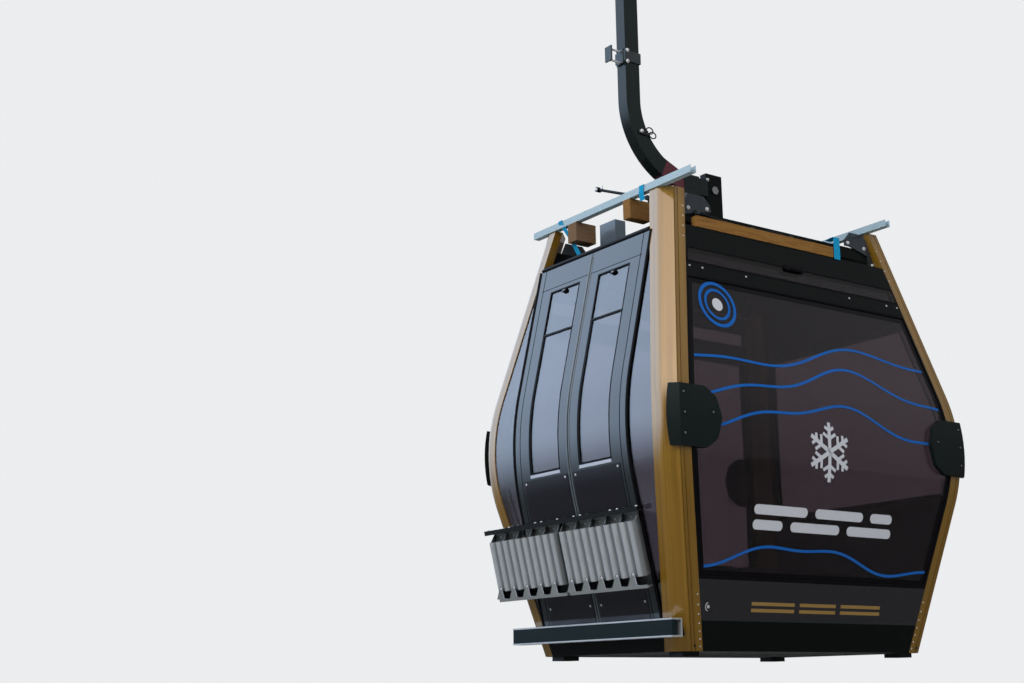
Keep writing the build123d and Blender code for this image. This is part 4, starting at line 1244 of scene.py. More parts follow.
@dataclass
class PostTrim:
    """Groove shadows on the end flanks of the posts, and rivets and screws at foot and head.

    A Bar, here and below, holds a profile's width, thickness and base.
    """

    grooves: Pair = (0.066, 0.090)
    groove: Bar = (0.0036, 0.0006, -0.0032)
    span: Pair = (0.003, 2.547)
    rivet_inset: float = 0.128
    rivet_heights: tuple[float, ...] = (
        0.024, 0.061, 0.100, 0.140, 0.185, 0.233, 0.285, 2.235, 2.30, 2.365, 2.43)
    rivet_radius: float = 0.0045
    screw_inset: float = 0.089
    screw_height: float = 0.028
    screw_radius: float = 0.008

    def build(self) -> None:
        """Places the lines and heads on the end flanks of all four posts."""
        rivets, screws, lines = Mesh(), Mesh(), Mesh()
        heights, run = np.array(self.rivet_heights), np.linspace(*self.span, 64)
        screw_reach = OUTLINE.reach(self.screw_height, self.screw_inset)
        shadow = bar_profile(*self.groove, SHARP_EDGE)
        for wall, side in product(ENDS, SIDES):
            places = np.stack((side * (OUTLINE.half_width(heights) - self.rivet_inset), heights), axis=1)
            rivets.add(Fastener.RIVET.on(wall, places, self.rivet_radius))
            screws.add(Fastener.SCREW.on(wall, [(side * screw_reach, self.screw_height)], self.screw_radius))
            for inset in self.grooves:
                path = np.stack((side * (OUTLINE.half_width(run) - inset), run), axis=1)
                lines.add(wall_strip(wall, path, shadow))
        rivets.piece("post_rivets", SCREW)
        screws.piece("post_screws", DARK_SCREW)
        lines.piece("post_groove_lines", GROOVE)


@dataclass
class BumperTrim:
    """Screws sunk in the end cheeks of the bumpers, each on a dark disc that paints the shade of its round
    recess.
    """

    cheek: float = 0.0258
    places: tuple[Pair, ...] = ((1.088, 1.296), (1.088, 1.188), (1.088, 1.080), (0.890, 1.205))
    recess_shade: tuple[Pair, ...] = ((0, -2), (14.5, -2), (14.5, 0), (13.34, 0.2), (0, 0.15))
    screw_radius: float = 0.007
    screw_lift: float = 0.0003

    def build(self) -> None:
        """Places the painted recess shades and the screws on both cheeks of both ends."""
        recess_shades, screws = Mesh(), Mesh()
        for wall, side in product(ENDS, SIDES):
            spots = [(side * across, height) for across, height in self.places]
            points, axes = on_wall(wall, spots, self.cheek)
            # Painted shade: a dark disc, barely proud of the cheek, stands for the recess.
            recess_shades.add(turned(points, axes, MILLIMETRE * np.array(self.recess_shade), 20))
            screws.add(Fastener.FLUSH.heads(points + self.screw_lift * axes, axes, self.screw_radius))
        recess_shades.piece("bumper_recess_shades", SEAL_AND_SHADE)
        screws.piece("bumper_screws", SUNK)


@dataclass
class EndWallTrim:
    """Seals, print borders, vent catches, sill edges and screws of both end walls, and a lock on the near
    end.
    """

    flank: float = 0.142
    glass: Pair = (0.363, 2.0)
    vent: Pair = (2.075, 2.181)
    seal: Bar = (0.016, 0.0075, -0.006)
    print_inset: float = 0.030
    print_film: Bar = (0.030, 0.0004, -0.0058)
    catch: Pair = (-0.014, 2.170)
    catch_half: Pair = (0.078, 0.017)
    catch_corner: float = 0.012
    catch_rings: tuple[Pair, ...] = ((1.0, -0.006), (1.0, 0.010), (0.94, 0.014), (0.80, 0.015))
    grip: Pair = (-0.014, 2.164)
    grip_half: Pair = (0.040, 0.005)
    grip_rings: tuple[Pair, ...] = ((1.0, 0.012), (1.0, 0.018), (0.86, 0.021))
    sill: float = 0.158
    sill_gap: float = 0.004
    sill_bar: Bar = (0.007, 0.0022, -0.0005)
    rail_screws: tuple[float, ...] = (0.842, 0.748, 0.42)
    rail_height: float = 2.055
    rail_screw: float = 0.006
    panel_screws: tuple[float, ...] = (-0.80, -0.40, 0.0, 0.40, 0.80)
    panel_height: float = 0.338
    panel_screw: float = 0.005
    lock: Pair = (-0.797, 0.224)
    lock_cup: tuple[Pair, ...] = ((0, -1), (26, -1), (26, 1.5), (23, 3), (19, 2.2), (18, 0.8), (0, 0.8))
    lock_plug: tuple[Pair, ...] = ((0, 0), (9, 0), (9, 2.6), (7.5, 3.4), (2.2, 3.4), (1.8, 2.0), (0, 2.0))
    # The glint is a painted highlight: a bright arc on one side of the lock's rim.
    glint_radius: float = 0.0205
    glint_turn: Pair = (0.6 * np.pi, 1.45 * np.pi)
    glint_bar: Bar = (0.005, 0.0014, 0.0022)

    def seals(self) -> None:
        """Seals round both panes and the printed border inside the large one."""
        seals, prints = Mesh(), Mesh()
        profile, film = bar_profile(*self.seal), bar_profile(*self.print_film)
        for wall in ENDS:
            for pane in (self.glass, self.vent):
                seals.add(wall_strip(wall, pane_loop(*pane, self.flank, self.seal[0] / 2), profile, True))
            prints.add(wall_strip(wall, pane_loop(*self.glass, self.flank, self.print_inset), film, True))
        seals.piece("end_seals", SEAL_AND_SHADE)
        prints.piece("end_print_borders", PRINT)

    def catches(self) -> None:
        """Latch tab that hangs from each header over its vent, and the thin edge over each sill."""
        tabs, edges = Mesh(), Mesh()
        corners = np.subtract(self.catch, self.catch_half), np.add(self.catch, self.catch_half)
        outline = rounded_loop(*corners, self.catch_corner)
        sill = level_line(OUTLINE.reach(self.sill, self.flank + self.sill_gap), self.sill)
        for wall in ENDS:
            tabs.add(boss(wall, outline, self.catch_rings))
            tabs.add(boss(wall, pill(self.grip, *self.grip_half), self.grip_rings))
            edges.add(wall_strip(wall, sill, bar_profile(*self.sill_bar)))
        tabs.piece("end_vent_catches", SEAL_AND_SHADE)
        edges.piece("end_sill_edges", FRAME)

    def fasteners(self) -> None:
        """Screws of the rails and of the lower panels."""
        rails, panels = Mesh(), Mesh()
        for wall in ENDS:
            for side in SIDES:
                places = [(side * across, self.rail_height) for across in self.rail_screws]
                rails.add(Fastener.SCREW.on(wall, places, self.rail_screw))
            places = [(across, self.panel_height) for across in self.panel_screws]
            panels.add(Fastener.SCREW.on(wall, places, self.panel_screw))
        rails.piece("end_rail_screws", SCREW)
        panels.piece("end_panel_screws", DARK_SCREW)

    def locks(self) -> None:
        """Round key lock on the near end: a dark cup, a painted highlight arc on one side of its rim, and a
        key plug.
        """
        cup, plug = Mesh(), Mesh()
        point, axis = on_wall(Wall.NEAR_END, [self.lock])
        cup.add(turned(point, axis, MILLIMETRE * np.array(self.lock_cup), 28))
        plug.add(turned(point, axis, MILLIMETRE * np.array(self.lock_plug), 20))
        # Painted highlight arc on one side of the rim, in the plug's bright steel.
        angle = np.linspace(*self.glint_turn, 18)
        path = np.array(self.lock) + self.glint_radius * np.stack((np.cos(angle), np.sin(angle)), axis=1)
        plug.add(wall_strip(Wall.NEAR_END, path, bar_profile(*self.glint_bar)))
        cup.piece("end_lock", DARK_SCREW)
        plug.piece("end_lock_plug_and_highlight", SCREW)

    def build(self) -> None:
        """Builds the trim of both ends."""
        self.seals()
        self.catches()
        self.fasteners()
        self.locks()


@dataclass
class EndWallGraphics:
    """Plain film shapes on the near end: rings, waves, an ice crystal, rounded bars and gold stripes."""

    base: float = -0.0056
    film: float = 0.0005
    rings_centre: Pair = (-0.690, 1.845)
    rings: tuple[Pair, ...] = ((0.125, 0.020), (0.085, 0.016))
    dot_radius: float = 0.037
    crystal: Pair = (0.0, 1.075)
    crystal_radius: float = 0.165
    spoke_width: float = 0.024
    branch_width: float = 0.018
    branches: tuple[Pair, ...] = ((0.45, 0.34), (0.72, 0.24))
    wave_width: float = 0.015
    wave_margin: float = 0.177
    wave_rows: tuple[tuple[float, float, float, float], ...] = (
        (1.60, 0.095, 2.4, 0.3), (1.43, 0.11, 2.7, 0.9), (1.24, 0.085, 3.1, 1.4), (0.49, 0.06, 3.6, 2.2))
    bar_half_height: float = 0.026
    bar_rows: tuple[tuple[float, tuple[Pair, ...]], ...] = (
        (0.735, ((-0.54, -0.14), (-0.08, 0.30), (0.36, 0.54))),
        (0.655, ((-0.54, -0.32), (-0.26, 0.12), (0.18, 0.54))))
    stripes: tuple[Pair, ...] = ((-0.49, -0.17), (-0.13, 0.15), (0.19, 0.51))
    stripe_heights: Pair = (0.212, 0.246)
    stripe_width: float = 0.018
    stripe_base: float = 0.0003

    def strip(self, path: Array, width: float, closed: bool = False) -> Surface:
        """Film line along a path on the near end's pane."""
        return wall_strip(Wall.NEAR_END, path, bar_profile(width, self.film, self.base, SHARP_EDGE), closed)

    def patch(self, outline: Array) -> Surface:
        """Filled film shape on the near end's pane."""
        return boss(Wall.NEAR_END, outline, ((1.0, self.base), (1.0, self.base + self.film)))

    def waves(self) -> list[Array]:
        """Lines within the pane: base + swell * sin(k x + phase) + 0.3 * swell * sin(2.7 k x).

        Returns:
            Their paths.
        """
        paths = []
        across = np.linspace(-1.05, 1.05, 140)
        for base, swell, pace, phase in self.wave_rows:
            height = base + swell * np.sin(pace * across + phase) + 0.3 * swell * np.sin(2.7 * pace * across)
            keep = np.abs(across) < OUTLINE.half_width(height) - self.wave_margin
            paths.append(np.stack((across[keep], height[keep]), axis=1))
        return paths

    def crystal_arms(self) -> list[tuple[Array, float]]:
        """Works out the ice crystal: six spokes with two pairs of branches each.

        Returns:
            Paths with their widths.
        """
        arms = []
        turn = np.array(((0.5, -0.866), (0.866, 0.5)))
        centre = np.array(self.crystal)
        for angle in np.linspace(0, 2 * np.pi, 6, endpoint=False) + np.pi / 2:
            ray = self.crystal_radius * np.array((np.cos(angle), np.sin(angle)))
            arms.append((line(centre, centre + ray), self.spoke_width))
            for share, reach in self.branches:
                root = centre + share * ray
                sides = (turn @ ray, turn.T @ ray)
                arms += [(line(root, root + reach * side), self.branch_width) for side in sides]
        return arms

    def build(self) -> None:
        """Builds the films in their colours."""
        blue, white, gold = Mesh(), Mesh(), Mesh()
        for radius, width in self.rings:
            blue.add(self.strip(np.array(self.rings_centre) + circle(radius, 56), width, True))
        white.add(self.patch(np.array(self.rings_centre) + circle(self.dot_radius, 56)))
        for path in self.waves():
            blue.add(self.strip(path, self.wave_width))
        for path, width in self.crystal_arms():
            white.add(self.strip(path, width))
        for height, spans in self.bar_rows:
            for start, end in spans:
                middle = ((start + end) / 2, height)
                white.add(self.patch(pill(middle, (end - start) / 2, self.bar_half_height)))
        profile = bar_profile(self.stripe_width, self.film, self.stripe_base, SHARP_EDGE)
        for (start, end), height in product(self.stripes, self.stripe_heights):
            gold.add(wall_strip(Wall.NEAR_END, line((start, height), (end, height)), profile))
        blue.piece("film_blue", BLUE)
        white.piece("film_white", WHITE)
        gold.piece("film_gold", GOLD_FILM)


@dataclass
class DoorTrim:
    """Trim of the door side: seals, painted shadow strips in the window reveals, seam beads, lower plates,
    window bars, catches, ledges and screws.
    """

    window: Pair = (0.085, 0.373)
    window_heights: Pair = (1.012, 2.128)
    window_gap: float = 0.005
    window_corner: float = 0.012
    window_seal: Bar = (0.010, 0.007, -0.006)
    # Painted shadow of each window's deep reveal: a dark strip up its inner edge, placed by these gaps and
    # this bar.
    reveal_gaps: Pair = (0.010, 0.004)
    reveal_shadow: Bar = (0.018, 0.0065, -0.006)
    bar_height: float = 1.848
    bar: Bar = (0.012, 0.008, -0.006)
    leaf: float = 0.456
    leaf_joint: Bar = (0.006, 0.006, -0.006)
    gasket: float = 0.517
    gasket_bead: Bar = (0.019, 0.009, -0.001)
    low: float = 0.167
    high: float = 2.288
    seam_top: float = 2.257
    seam_joint: Bar = (0.005, 0.002, -0.004)
    seam_beads: Pair = (-0.0092, 0.0092)
    seam_bead: Bar = (0.0105, 0.005, -0.001)
    header: float = 2.152
    header_span: Pair = (0.014, 0.470)
    header_joint: Bar = (0.0045, 0.0012, -0.0006)
    plate: Pair = (0.026, 0.436)
    plate_top: float = 0.980
    plate_proud: float = 0.0028
    plate_base: float = 0.0002
    small_gap: float = 0.004
    ledge_height: float = 1.000
    ledge: Bar = (0.018, 0.004, -0.001)
    catch_drop: float = 0.022
    catch: Pair = (0.022, 0.012)
    catch_rings: tuple[Pair, ...] = ((1.0, -0.006), (1.0, 0.004), (0.88, 0.008))
    button: Pair = (0.011, 0.0055)
    button_rings: tuple[Pair, ...] = ((1.0, 0.006), (1.0, 0.010), (0.8, 0.0115))
    roof_inset: float = 0.318 + 0.135 + 0.003
    roof_lift: float = 0.010
    roof_bead: Bar = (0.024, 0.012, -0.002)
    screw_radius: float = 0.0065
    screw_spots: tuple[Pair, ...] = ((0.048, 0.963), (0.417, 0.963), (0.048, 0.26), (0.417, 0.26))

    def strip(self, path: Array, profile: Array, closed: bool = False) -> Surface:
        """Strip along a path on the door side."""
        return wall_strip(Wall.DOOR_SIDE, path, profile, closed)

    def upright(self, across: float, profile: Array, low: float, high: float) -> Surface:
        """Strip that runs up the wall at one place."""
        return self.strip(line((across, low), (across, high)), profile)

    def spans(self) -> list[Pair]:
        """Left and right edge of both windows, as places along the wall."""
        return [tuple(sorted(side * edge for edge in self.window)) for side in SIDES]

    def seals(self) -> None:
        """Seals round the windows, painted shadow strips in their reveals, gaskets beside the fixed glass,
        the roof seal and thin joint lines.
        """
        seals = Mesh()
        (low, high), gap, (inward, upward) = self.window_heights, self.window_gap, self.reveal_gaps
        for side, (start, end) in zip(SIDES, self.spans()):
            loop = rounded_loop((start + gap, low + gap), (end - gap, high - gap), self.window_corner)
            seals.add(self.strip(loop, bar_profile(*self.window_seal), True))
            # Painted shadow strip inside the reveal, up to the window bar.
            reveal = bar_profile(*self.reveal_shadow)
            seals.add(self.upright(end - inward, reveal, low + upward, self.bar_height))
            seals.add(self.upright(side * self.gasket, bead_profile(*self.gasket_bead), self.low, self.high))
            seals.add(self.upright(side * self.leaf, bar_profile(*self.leaf_joint), self.low, self.high))
            header = line(*((side * across, self.header) for across in self.header_span))
            seals.add(self.strip(header, bar_profile(*self.header_joint)))
        seals.add(self.upright(0.0, bar_profile(*self.seam_joint), self.low, self.seam_top))
        roof_edge = level_line(OUTLINE.reach(self.high, self.roof_inset), self.high + self.roof_lift)
        seals.add(self.strip(roof_edge, bead_profile(*self.roof_bead)))
        seals.piece("door_seals_and_reveal_shadows", SEAL_AND_SHADE)

    def beads(self) -> None:
        """Rounded edge beads of both leaves, beside the dark seam."""
        beads = Mesh()
        for across in self.seam_beads:
            beads.add(self.upright(across, bead_profile(*self.seam_bead), self.low, self.seam_top))
        beads.piece("door_edge_beads", BEAD)

    def plates(self) -> None:
        """Dark glossy plate over the lower half of each leaf, with a pale ledge under its window."""
        plates, ledges = Mesh(), Mesh()
        heights = np.linspace(self.low + self.small_gap, self.plate_top, 40)
        for side in SIDES:
            inner, outer = (np.stack((np.full(40, side * edge), heights), axis=1) for edge in self.plate)
            plates.add(wall_ribbon(Wall.DOOR_SIDE, inner, outer, self.plate_base, self.plate_proud))
            ends = (side * (self.window[0] + self.small_gap), side * (self.window[1] - self.small_gap))
            ledge = line(*((across, self.ledge_height) for across in ends), 0.1)
            ledges.add(self.strip(ledge, bar_profile(*self.ledge)))
        plates.piece("door_lower_plates", PLATE)
        ledges.piece("door_window_ledges", LEDGE_AND_HIGHLIGHT)

    def bars(self) -> None:
        """Bar across each window and the pill-shaped catch of each vent, with its thumb button."""
        bars, catches, buttons = Mesh(), Mesh(), Mesh()
        for start, end in self.spans():
            path = line((start, self.bar_height), (end, self.bar_height))
            bars.add(self.strip(path, bar_profile(*self.bar)))
            middle = ((start + end) / 2, self.window_heights[1] - self.catch_drop)
            catches.add(boss(Wall.DOOR_SIDE, pill(middle, *self.catch), self.catch_rings))
            buttons.add(boss(Wall.DOOR_SIDE, pill(middle, *self.button), self.button_rings))
        bars.piece("door_window_bars", BLACK)
        catches.piece("door_vent_catches", SEAL_AND_SHADE)
        buttons.piece("door_vent_buttons", BEAD)

    def fasteners(self) -> None:
        """Screws at the corners of the plates and at the windows."""
        screws = Mesh()
        places = [(side * across, height) for side in SIDES for across, height in self.screw_spots]
        screws.add(Fastener.SCREW.on(Wall.DOOR_SIDE, places, self.screw_radius, self.plate_proud))
        screws.piece("door_screws", SCREW)

    def build(self) -> None:
        """Builds the door side's trim."""
        self.seals()
        self.beads()
        self.plates()
        self.bars()
        self.fasteners()


@dataclass
class FarSideTrim:
    """Trim of the fixed far side: seal and printed border of its window, header line and panel screws."""

    flank: float = 0.318 + 0.135
    glass: Pair = (0.900, 2.0)
    pane_steps: int = 30
    seal: Bar = (0.016, 0.0058, -0.006)
    print_inset: float = 0.030
    print_film: Bar = (0.028, 0.0004, -0.0058)
    header: float = 2.15
    header_gap: float = 0.004
    header_joint: Bar = (0.0045, 0.0012, -0.0006)
    screw_radius: float = 0.006
    high_screws: tuple[Pair, ...] = tuple(product((-0.60, -0.2, 0.2, 0.60), (0.862, 2.03)))
    low_screws: tuple[Pair, ...] = ((-0.50, 0.20), (-0.17, 0.20), (0.17, 0.20), (0.50, 0.20))

    def build(self) -> None:
        """Builds the trim of the far side."""
        seals, prints, screws = Mesh(), Mesh(), Mesh()
        parts = ((seals, self.seal[0] / 2, self.seal), (prints, self.print_inset, self.print_film))
        for mesh, inset, profile in parts:
            loop = pane_loop(*self.glass, self.flank, inset, self.pane_steps)
            mesh.add(wall_strip(Wall.FAR_SIDE, loop, bar_profile(*profile), True))
        header = level_line(OUTLINE.reach(self.header, self.flank + self.header_gap), self.header)
        seals.add(wall_strip(Wall.FAR_SIDE, header, bar_profile(*self.header_joint)))
        screws.add(Fastener.SCREW.on(Wall.FAR_SIDE, self.high_screws + self.low_screws, self.screw_radius))
        seals.piece("far_seals", SEAL_AND_SHADE)
        prints.piece("far_print_border", PRINT)
        screws.piece("far_screws", DARK_SCREW)


@dataclass
class RackTrim:
    """Rivets of the ski racks' teeth and slots, painted highlights along the tooth edges and the rivets along
    their bar.
    """

    root: float = 1.0193
    offset: float = 0.158
    low: float = 0.340
    pitch: float = 0.131
    slots: int = 5
    width: float = 0.655
    gap: float = 0.027
    comb_depth: float = 0.1123
    tip_offset: float = 0.035
    tip_rise: float = 0.076
    tip_radius: float = 0.0065
    slot_rivet: Pair = (0.004, 0.365)
    slot_radius: float = 0.0060
    tooth: tuple[Pair, ...] = ((-0.0075, 0.088), (-0.0120, 0.050), (-0.0160, 0.0172), (-0.0360, 0.0170))
    # Painted highlight along each tooth's lit edge: a thin pale tube, shifted off the edge.
    edge_highlight_radius: float = 0.0016
    edge_highlight_shift: float = 0.003
    bar_rivet: Pair = (0.026, 0.417)
    bar_radius: float = 0.0075
    bar_pairs: tuple[float, ...] = (-0.19, -0.13, 0.13, 0.19)
    bar_overhang: float = 0.02
    lean: float = float(np.arctan(0.23))
    slant: float = float(np.tan(np.radians(37.0)))

    def __post_init__(self) -> None:
        """Works out the directions off the leaning wall and up along it."""
        sine, cosine = np.sin(self.lean), np.cos(self.lean)
        self.out = np.array((-cosine, 0.0, -sine))
        self.above = np.array((-sine, 0.0, cosine))

    def place(self, along: Array, depth: Array, rise: Array) -> Array:
        """Puts points on the rack: origin + Y * along + out * depth + above * rise.

        Args:
            along: distances along the rope from the middle.
            depth: how far the points stand off the wall.
            rise: distances up the wall from the rack's foot.

        Returns:
            Points of shape (n, 3).
        """
        parts = np.broadcast_arrays(np.asarray(along, float), depth, rise)
        along, depth, rise = (item[:, None] for item in parts)
        origin = np.array((-self.root, self.offset, self.low + FLOOR_LEVEL))
        return origin + along * (0.0, 1.0, 0.0) + depth * self.out + rise * self.above

    def build(self) -> None:
        """Places the rivets and the painted edge highlights."""
        rivets, bolts, edges = Mesh(), Mesh(), Mesh()
        index = np.arange(self.slots)
        steps, rises = np.array(self.tooth).T
        for start in (self.gap / 2, -self.gap / 2 - self.width):
            tips = start + self.width - self.tip_offset - index * self.pitch - self.comb_depth * self.slant
            heads = self.place(tips, self.comb_depth, self.tip_rise)
            rivets.add(Fastener.RIVET.heads(heads, self.out, self.tip_radius))
            slots = self.place(start + (index + 0.5) * self.pitch, *self.slot_rivet)
            rivets.add(Fastener.RIVET.heads(slots, self.out, self.slot_radius))
            for tip in tips:
                # Painted highlight tube along the tooth's edge and onto the lip.
                path = self.place(tip + self.edge_highlight_shift + steps, self.comb_depth, rises)
                edges.add(tube(path, circle(self.edge_highlight_radius, 6), self.out))
            pairs = self.place(start + self.width / 2 + np.array(self.bar_pairs), *self.bar_rivet)
            bolts.add(Fastener.RIVET.heads(pairs, self.above, self.bar_radius))
        end = self.gap / 2 + self.width + self.bar_overhang
        spots = self.place((-end, 0.0, end), *self.bar_rivet)
        bolts.add(Fastener.RIVET.heads(spots, self.above, self.bar_radius))
        rivets.piece("rack_rivets", SCREW)
        bolts.piece("rack_bar_rivets", SCREW)
        edges.piece("rack_tooth_edge_highlights", LEDGE_AND_HIGHLIGHT)


@dataclass
class RailTrim:
    """Dark glossy infill between the bright flanges of the guide rail."""

    flange: float = 0.0083
    setback: float = 0.0015
    depth: float = 0.030
    end_gap: float = 0.001
    bevel: float = 0.0015

    def build(self) -> None:
        """Fits the infill to the rail's own box."""
        low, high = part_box("guide_rail")
        infill = Mesh()
        start = (low.x + self.setback, low.y + self.end_gap, low.z + self.flange)
        end = (low.x + self.depth, high.y - self.end_gap, high.z - self.flange)
        infill.add(block(start, end, self.bevel))
        infill.piece("guide_rail_infill", INFILL)


@dataclass
class LoadStraps:
    """Woven straps that tie the channels down: bands of flat weave, three falls and their laps on top.

    Each band is a width, the direction of its sides and a path with heights over the underside.
    """

    thickness: float = 0.0022
    spacing: float = 0.02
    bands: tuple[tuple[float, Point, tuple[Point, ...]], ...] = (
        (0.036, (0, 1, 0.3), (
            (-0.9085, 0.380, 2.592), (-0.9090, 0.376, 2.580), (-0.870, 0.325, 2.475),
            (-0.846, 0.262, 2.335))),
        (0.036, (0, 1, 0), (
            (-0.862, 0.382, 2.594), (-0.88, 0.381, 2.5945), (-0.9085, 0.380, 2.594),
            (-0.9085, 0.380, 2.580))),
        (0.040, (0, 1, 0), ((-0.9095, -0.392, 2.592), (-0.910, -0.388, 2.548), (-0.9, -0.386, 2.505))),
        (0.040, (0, 1, 0), ((-0.86, -0.392, 2.5935), (-0.89, -0.392, 2.5935), (-0.9085, -0.392, 2.592))),
        (0.052, (1, 0, 0), ((0.400, -0.640, 2.442), (0.400, -0.6405, 2.37), (0.400, -0.639, 2.305))),
        (0.052, (1, 0, 0), ((0.400, -0.575, 2.4365), (0.400, -0.61, 2.442), (0.400, -0.640, 2.442))),
    )

    def build(self) -> None:
        """Builds the bands, whose flat profile has pointed edges."""
        straps = Mesh()
        for width, sides, path in self.bands:
            half, thick = width / 2, self.thickness / 2
            ring = [(0, -half), (-thick, -half + thick), (-thick, half - thick)]
            ring += [(0, half), (thick, half - thick), (thick, -half + thick)]
            points = densify(np.array(path) + (0.0, 0.0, FLOOR_LEVEL), self.spacing)
            straps.add(tube(points, np.array(ring), sides))
        straps.piece("load_straps", STRAP)


@dataclass
class HangerTrim:
    """Bolts of clamp, yoke and gussets, rods of the clamp, cable eyes on the arm and pins of the lever."""

    clamp: Point = (-0.690, 0.048, 3.58)
    rod_rises: Pair = (-0.036, 0.036)
    rod_start: float = -0.7105
    rod: tuple[Pair, ...] = ((0, 0), (6.9, 0), (6.9, 76), (10.5, 76), (10.5, 83), (0, 83))
    gusset_bolts: tuple[Pair, ...] = ((0.580, 2.460), (0.722, 2.444), (0.790, 2.347))
    yoke_edge: Pair = (-0.052, 0.026)
    yoke_heights: Pair = (-1.990, -2.200)
    yoke_foot: tuple[Pair, Pair] = ((-0.17, 0.17), (-0.12, 0.12))
    foot_plate: float = 0.015
    side_bolt: float = 0.009
    edge_bolt: float = 0.008
    foot_bolt: float = 0.014
    eye_height: float = 3.103
    eyes: tuple[Pair, ...] = ((-0.533, 0.019), (-0.511, -0.006))
    eye_half: Pair = (0.026, 0.020)
    eye_depth: float = -0.047
    eye_wire: float = 0.004
    eye_block: tuple[Point, Point] = ((-0.618, -0.050, -0.016), (-0.545, -0.0395, 0.016))
    knob: Point = (-0.604, -0.0495, 0.0)
    knob_dome: tuple[Pair, ...] = ((0, 0), (8, 0), (8, 4), (12, 6), (12.5, 11), (9, 16), (4, 18), (0, 18.5))
    lever_pin: tuple[Pair, ...] = ((0, 0), (7, 0), (7, 16), (5, 19), (0, 19))
    lever_pin_shift: Point = (0.006, -0.045, -0.010)

    def bolts(self) -> None:
        """Bolts of the clamp's band, the yoke's foot and edge, and the gussets."""
        bolts = Mesh()
        x, y, height = self.clamp
        edge_x, edge_y = self.yoke_edge
        for side in SIDES:
            axis = (0, side, 0)
            band = [(x, side * y, FLOOR_LEVEL + height + rise) for rise in self.rod_rises]
            bolts.add(Fastener.BOLT.heads(band, axis, self.side_bolt))
            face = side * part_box("roof_gussets")[1].y
            pairs = product(SIDES, self.gusset_bolts)
            spots = [(turn * out, face, FLOOR_LEVEL + level) for turn, (out, level) in pairs]
            bolts.add(Fastener.BOLT.heads(spots, axis, self.side_bolt))
            edge = [(edge_x, side * edge_y, z) for z in self.yoke_heights]
            bolts.add(Fastener.BOLT.heads(edge, axis, self.edge_bolt))
        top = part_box("roof_yoke")[0].z + self.foot_plate
        foot = [(*spot, top) for spot in product(*self.yoke_foot)]
        bolts.add(Fastener.BOLT.heads(foot, UP, self.foot_bolt))
        bolts.piece("hanger_bolts", SCREW)

    def clamp_rods(self) -> None:
        """Bright sleeves over both rods of the clamp, with a nut before the end plate."""
        rods = Mesh()
        for rise in self.rod_rises:
            start = (self.rod_start, 0.0, FLOOR_LEVEL + self.clamp[2] + rise)
            rods.add(turned(start, OUT_FROM_DOORS, MILLIMETRE * np.array(self.rod), 14))
        rods.piece("clamp_rod_sleeves", SCREW)

    def eyes_and_knob(self) -> None:
        """Bright knob and two dark wire eyes on a small block at the arm's edge."""
        level = np.array((0.0, 0.0, FLOOR_LEVEL + self.eye_height))
        eyes, knob = Mesh(), Mesh()
        angle = np.linspace(0, 2 * np.pi, 28)
        for x, rise in self.eyes:
            wide, tall = self.eye_half
            ring = (x + wide * np.cos(angle), np.full(28, self.eye_depth), rise + tall * np.sin(angle))
            eyes.add(tube(np.stack(ring, axis=1) + level, circle(self.eye_wire, 8), (0, 1, 0)))
        eyes.add(block(*(corner + level for corner in self.eye_block)))
        eyes.piece("arm_cable_eyes", DARK_SCREW)
        knob.add(turned(self.knob + level, (0, -1, 0), MILLIMETRE * np.array(self.knob_dome), 18))
        knob.piece("arm_eye_knob", SCREW)

    def lever_pins(self) -> None:
        """Bright pins through the lever's tip and beside it."""
        low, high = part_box("door_lever")
        radius = (high.x - low.x) / 2
        tip = np.array((low.x, high.y - radius, high.z - radius))
        pins = Mesh()
        pins.add(Fastener.BOLT.heads(tip, OUT_FROM_DOORS, self.edge_bolt))
        pins.add(turned(tip + self.lever_pin_shift, UP, MILLIMETRE * np.array(self.lever_pin), 12))
        pins.piece("lever_pins", SCREW)

    def build(self) -> None:
        """Places the fittings."""
        self.bolts()
        self.clamp_rods()
        self.eyes_and_knob()
        self.lever_pins()


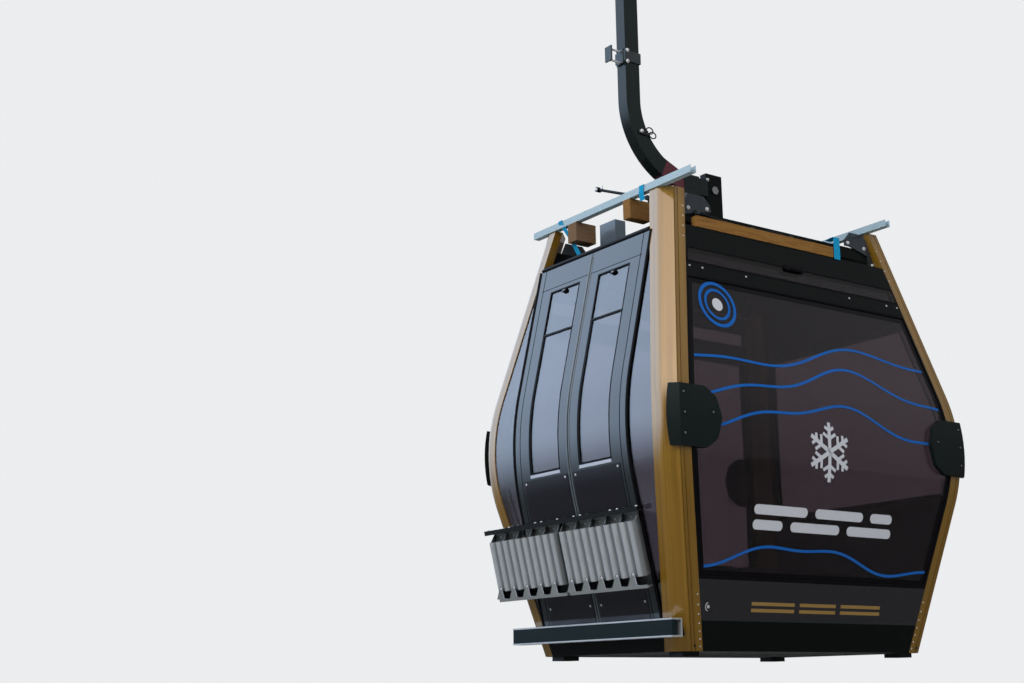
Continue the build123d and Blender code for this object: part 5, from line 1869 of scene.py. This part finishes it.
@dataclass
class BenchPads:
    """Seat pads on both benches: crowned pads with sides that pull in and piping round each seat."""

    seats: int = 5
    depth: float = 0.375
    gaps: Pair = (0.004, 0.003)
    base: float = 0.390
    crown: float = 0.060
    turns: int = 64
    corner_power: float = 2 / 7
    pull: float = 0.018
    shrink: tuple[float, ...] = (0.0, 0.5, 0.9, 0.965, 0.99, 1.0, 0.985, 0.94, 0.86, 0.7, 0.5, 0.25, 0.0)
    rise: tuple[float, ...] = (0.0, 0.0, 0.0, 0.03, 0.14, 0.42, 0.70, 0.86, 0.94, 0.975, 0.99, 1.0, 1.0)
    piping_radius: float = 0.0035
    piping_rise: float = 0.42
    piping_share: float = 0.999

    def plan(self, half: Array) -> Array:
        """Works out the plan curve of a pad: a superellipse whose sides pull in between the corners.

        Args:
            half: half sizes of the pad.

        Returns:
            Points of the curve about the pad's middle.
        """
        turn = np.linspace(0, 2 * np.pi, self.turns, endpoint=False)
        ray = np.stack((np.cos(turn), np.sin(turn)), axis=1)
        pull = 1 - self.pull * np.cos(turn * 4 + np.pi)
        return np.sign(ray) * np.abs(ray) ** self.corner_power * pull[:, None] * half

    def pad(self, centre: Array, plan: Array) -> Surface:
        """One pad: centre + plan * shrink at each level of the crown's profile.

        Args:
            centre: middle of the seat, (x, y).
            plan: curve about it.

        Returns:
            Points and quads.
        """
        shrink, rise = np.array(self.shrink), np.array(self.rise)
        flat = centre + plan[None] * shrink[:, None, None]
        level = np.full(flat.shape[:2], FLOOR_LEVEL + self.base) + self.crown * rise[:, None]
        points = np.concatenate((flat, level[..., None]), axis=-1)
        return points.reshape(-1, 3), ring_faces(len(rise), self.turns)

    def piping(self, centre: Array, plan: Array) -> Surface:
        """Welt round one pad at its widest level: curve + outward * u + up * v.

        Args:
            centre: middle of the seat, (x, y).
            plan: curve about it.

        Returns:
            Points and quads.
        """
        level = FLOOR_LEVEL + self.base + self.piping_rise * self.crown
        flat = centre + plan * self.piping_share
        ring = circle(self.piping_radius, 6)
        shape = np.repeat(np.insert(flat, 2, level, axis=1)[:, None], 6, axis=1)
        shape[..., :2] += unit(plan)[:, None] * ring[None, :, :1]
        shape[..., 2] += ring[None, :, 1]
        return shell(shape, True)

    def build(self) -> None:
        """Builds both rows and lets them stand for the plain solids."""
        low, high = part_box("bench_seats")
        pads, welts = Mesh(), Mesh()
        pitch = (high.x - low.x) / self.seats
        plan = self.plan(np.array((pitch, self.depth)) / 2 - self.gaps)
        for middle in (low.y + self.depth / 2, high.y - self.depth / 2):
            for index in range(self.seats):
                centre = np.array((low.x + (index + 0.5) * pitch, middle))
                pads.add(self.pad(centre, plan))
                welts.add(self.piping(centre, plan))
        item = pads.piece("bench_pads", SEAT)
        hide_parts("bench_seats")
        welts.piece("bench_piping", SEAM)


ASSEMBLIES = (
    Studio, Solids, PostTrim, BumperTrim, EndWallTrim, EndWallGraphics, DoorTrim, FarSideTrim, RackTrim,
    RailTrim, LoadStraps, HangerTrim, BenchPads,
)


def main() -> None:
    """Builds everything in order."""
    logging.basicConfig(level=logging.INFO, format="%(name)s %(message)s")
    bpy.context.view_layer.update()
    for assembly in ASSEMBLIES:
        assembly().build()


if __name__ == "__main__":
    main()
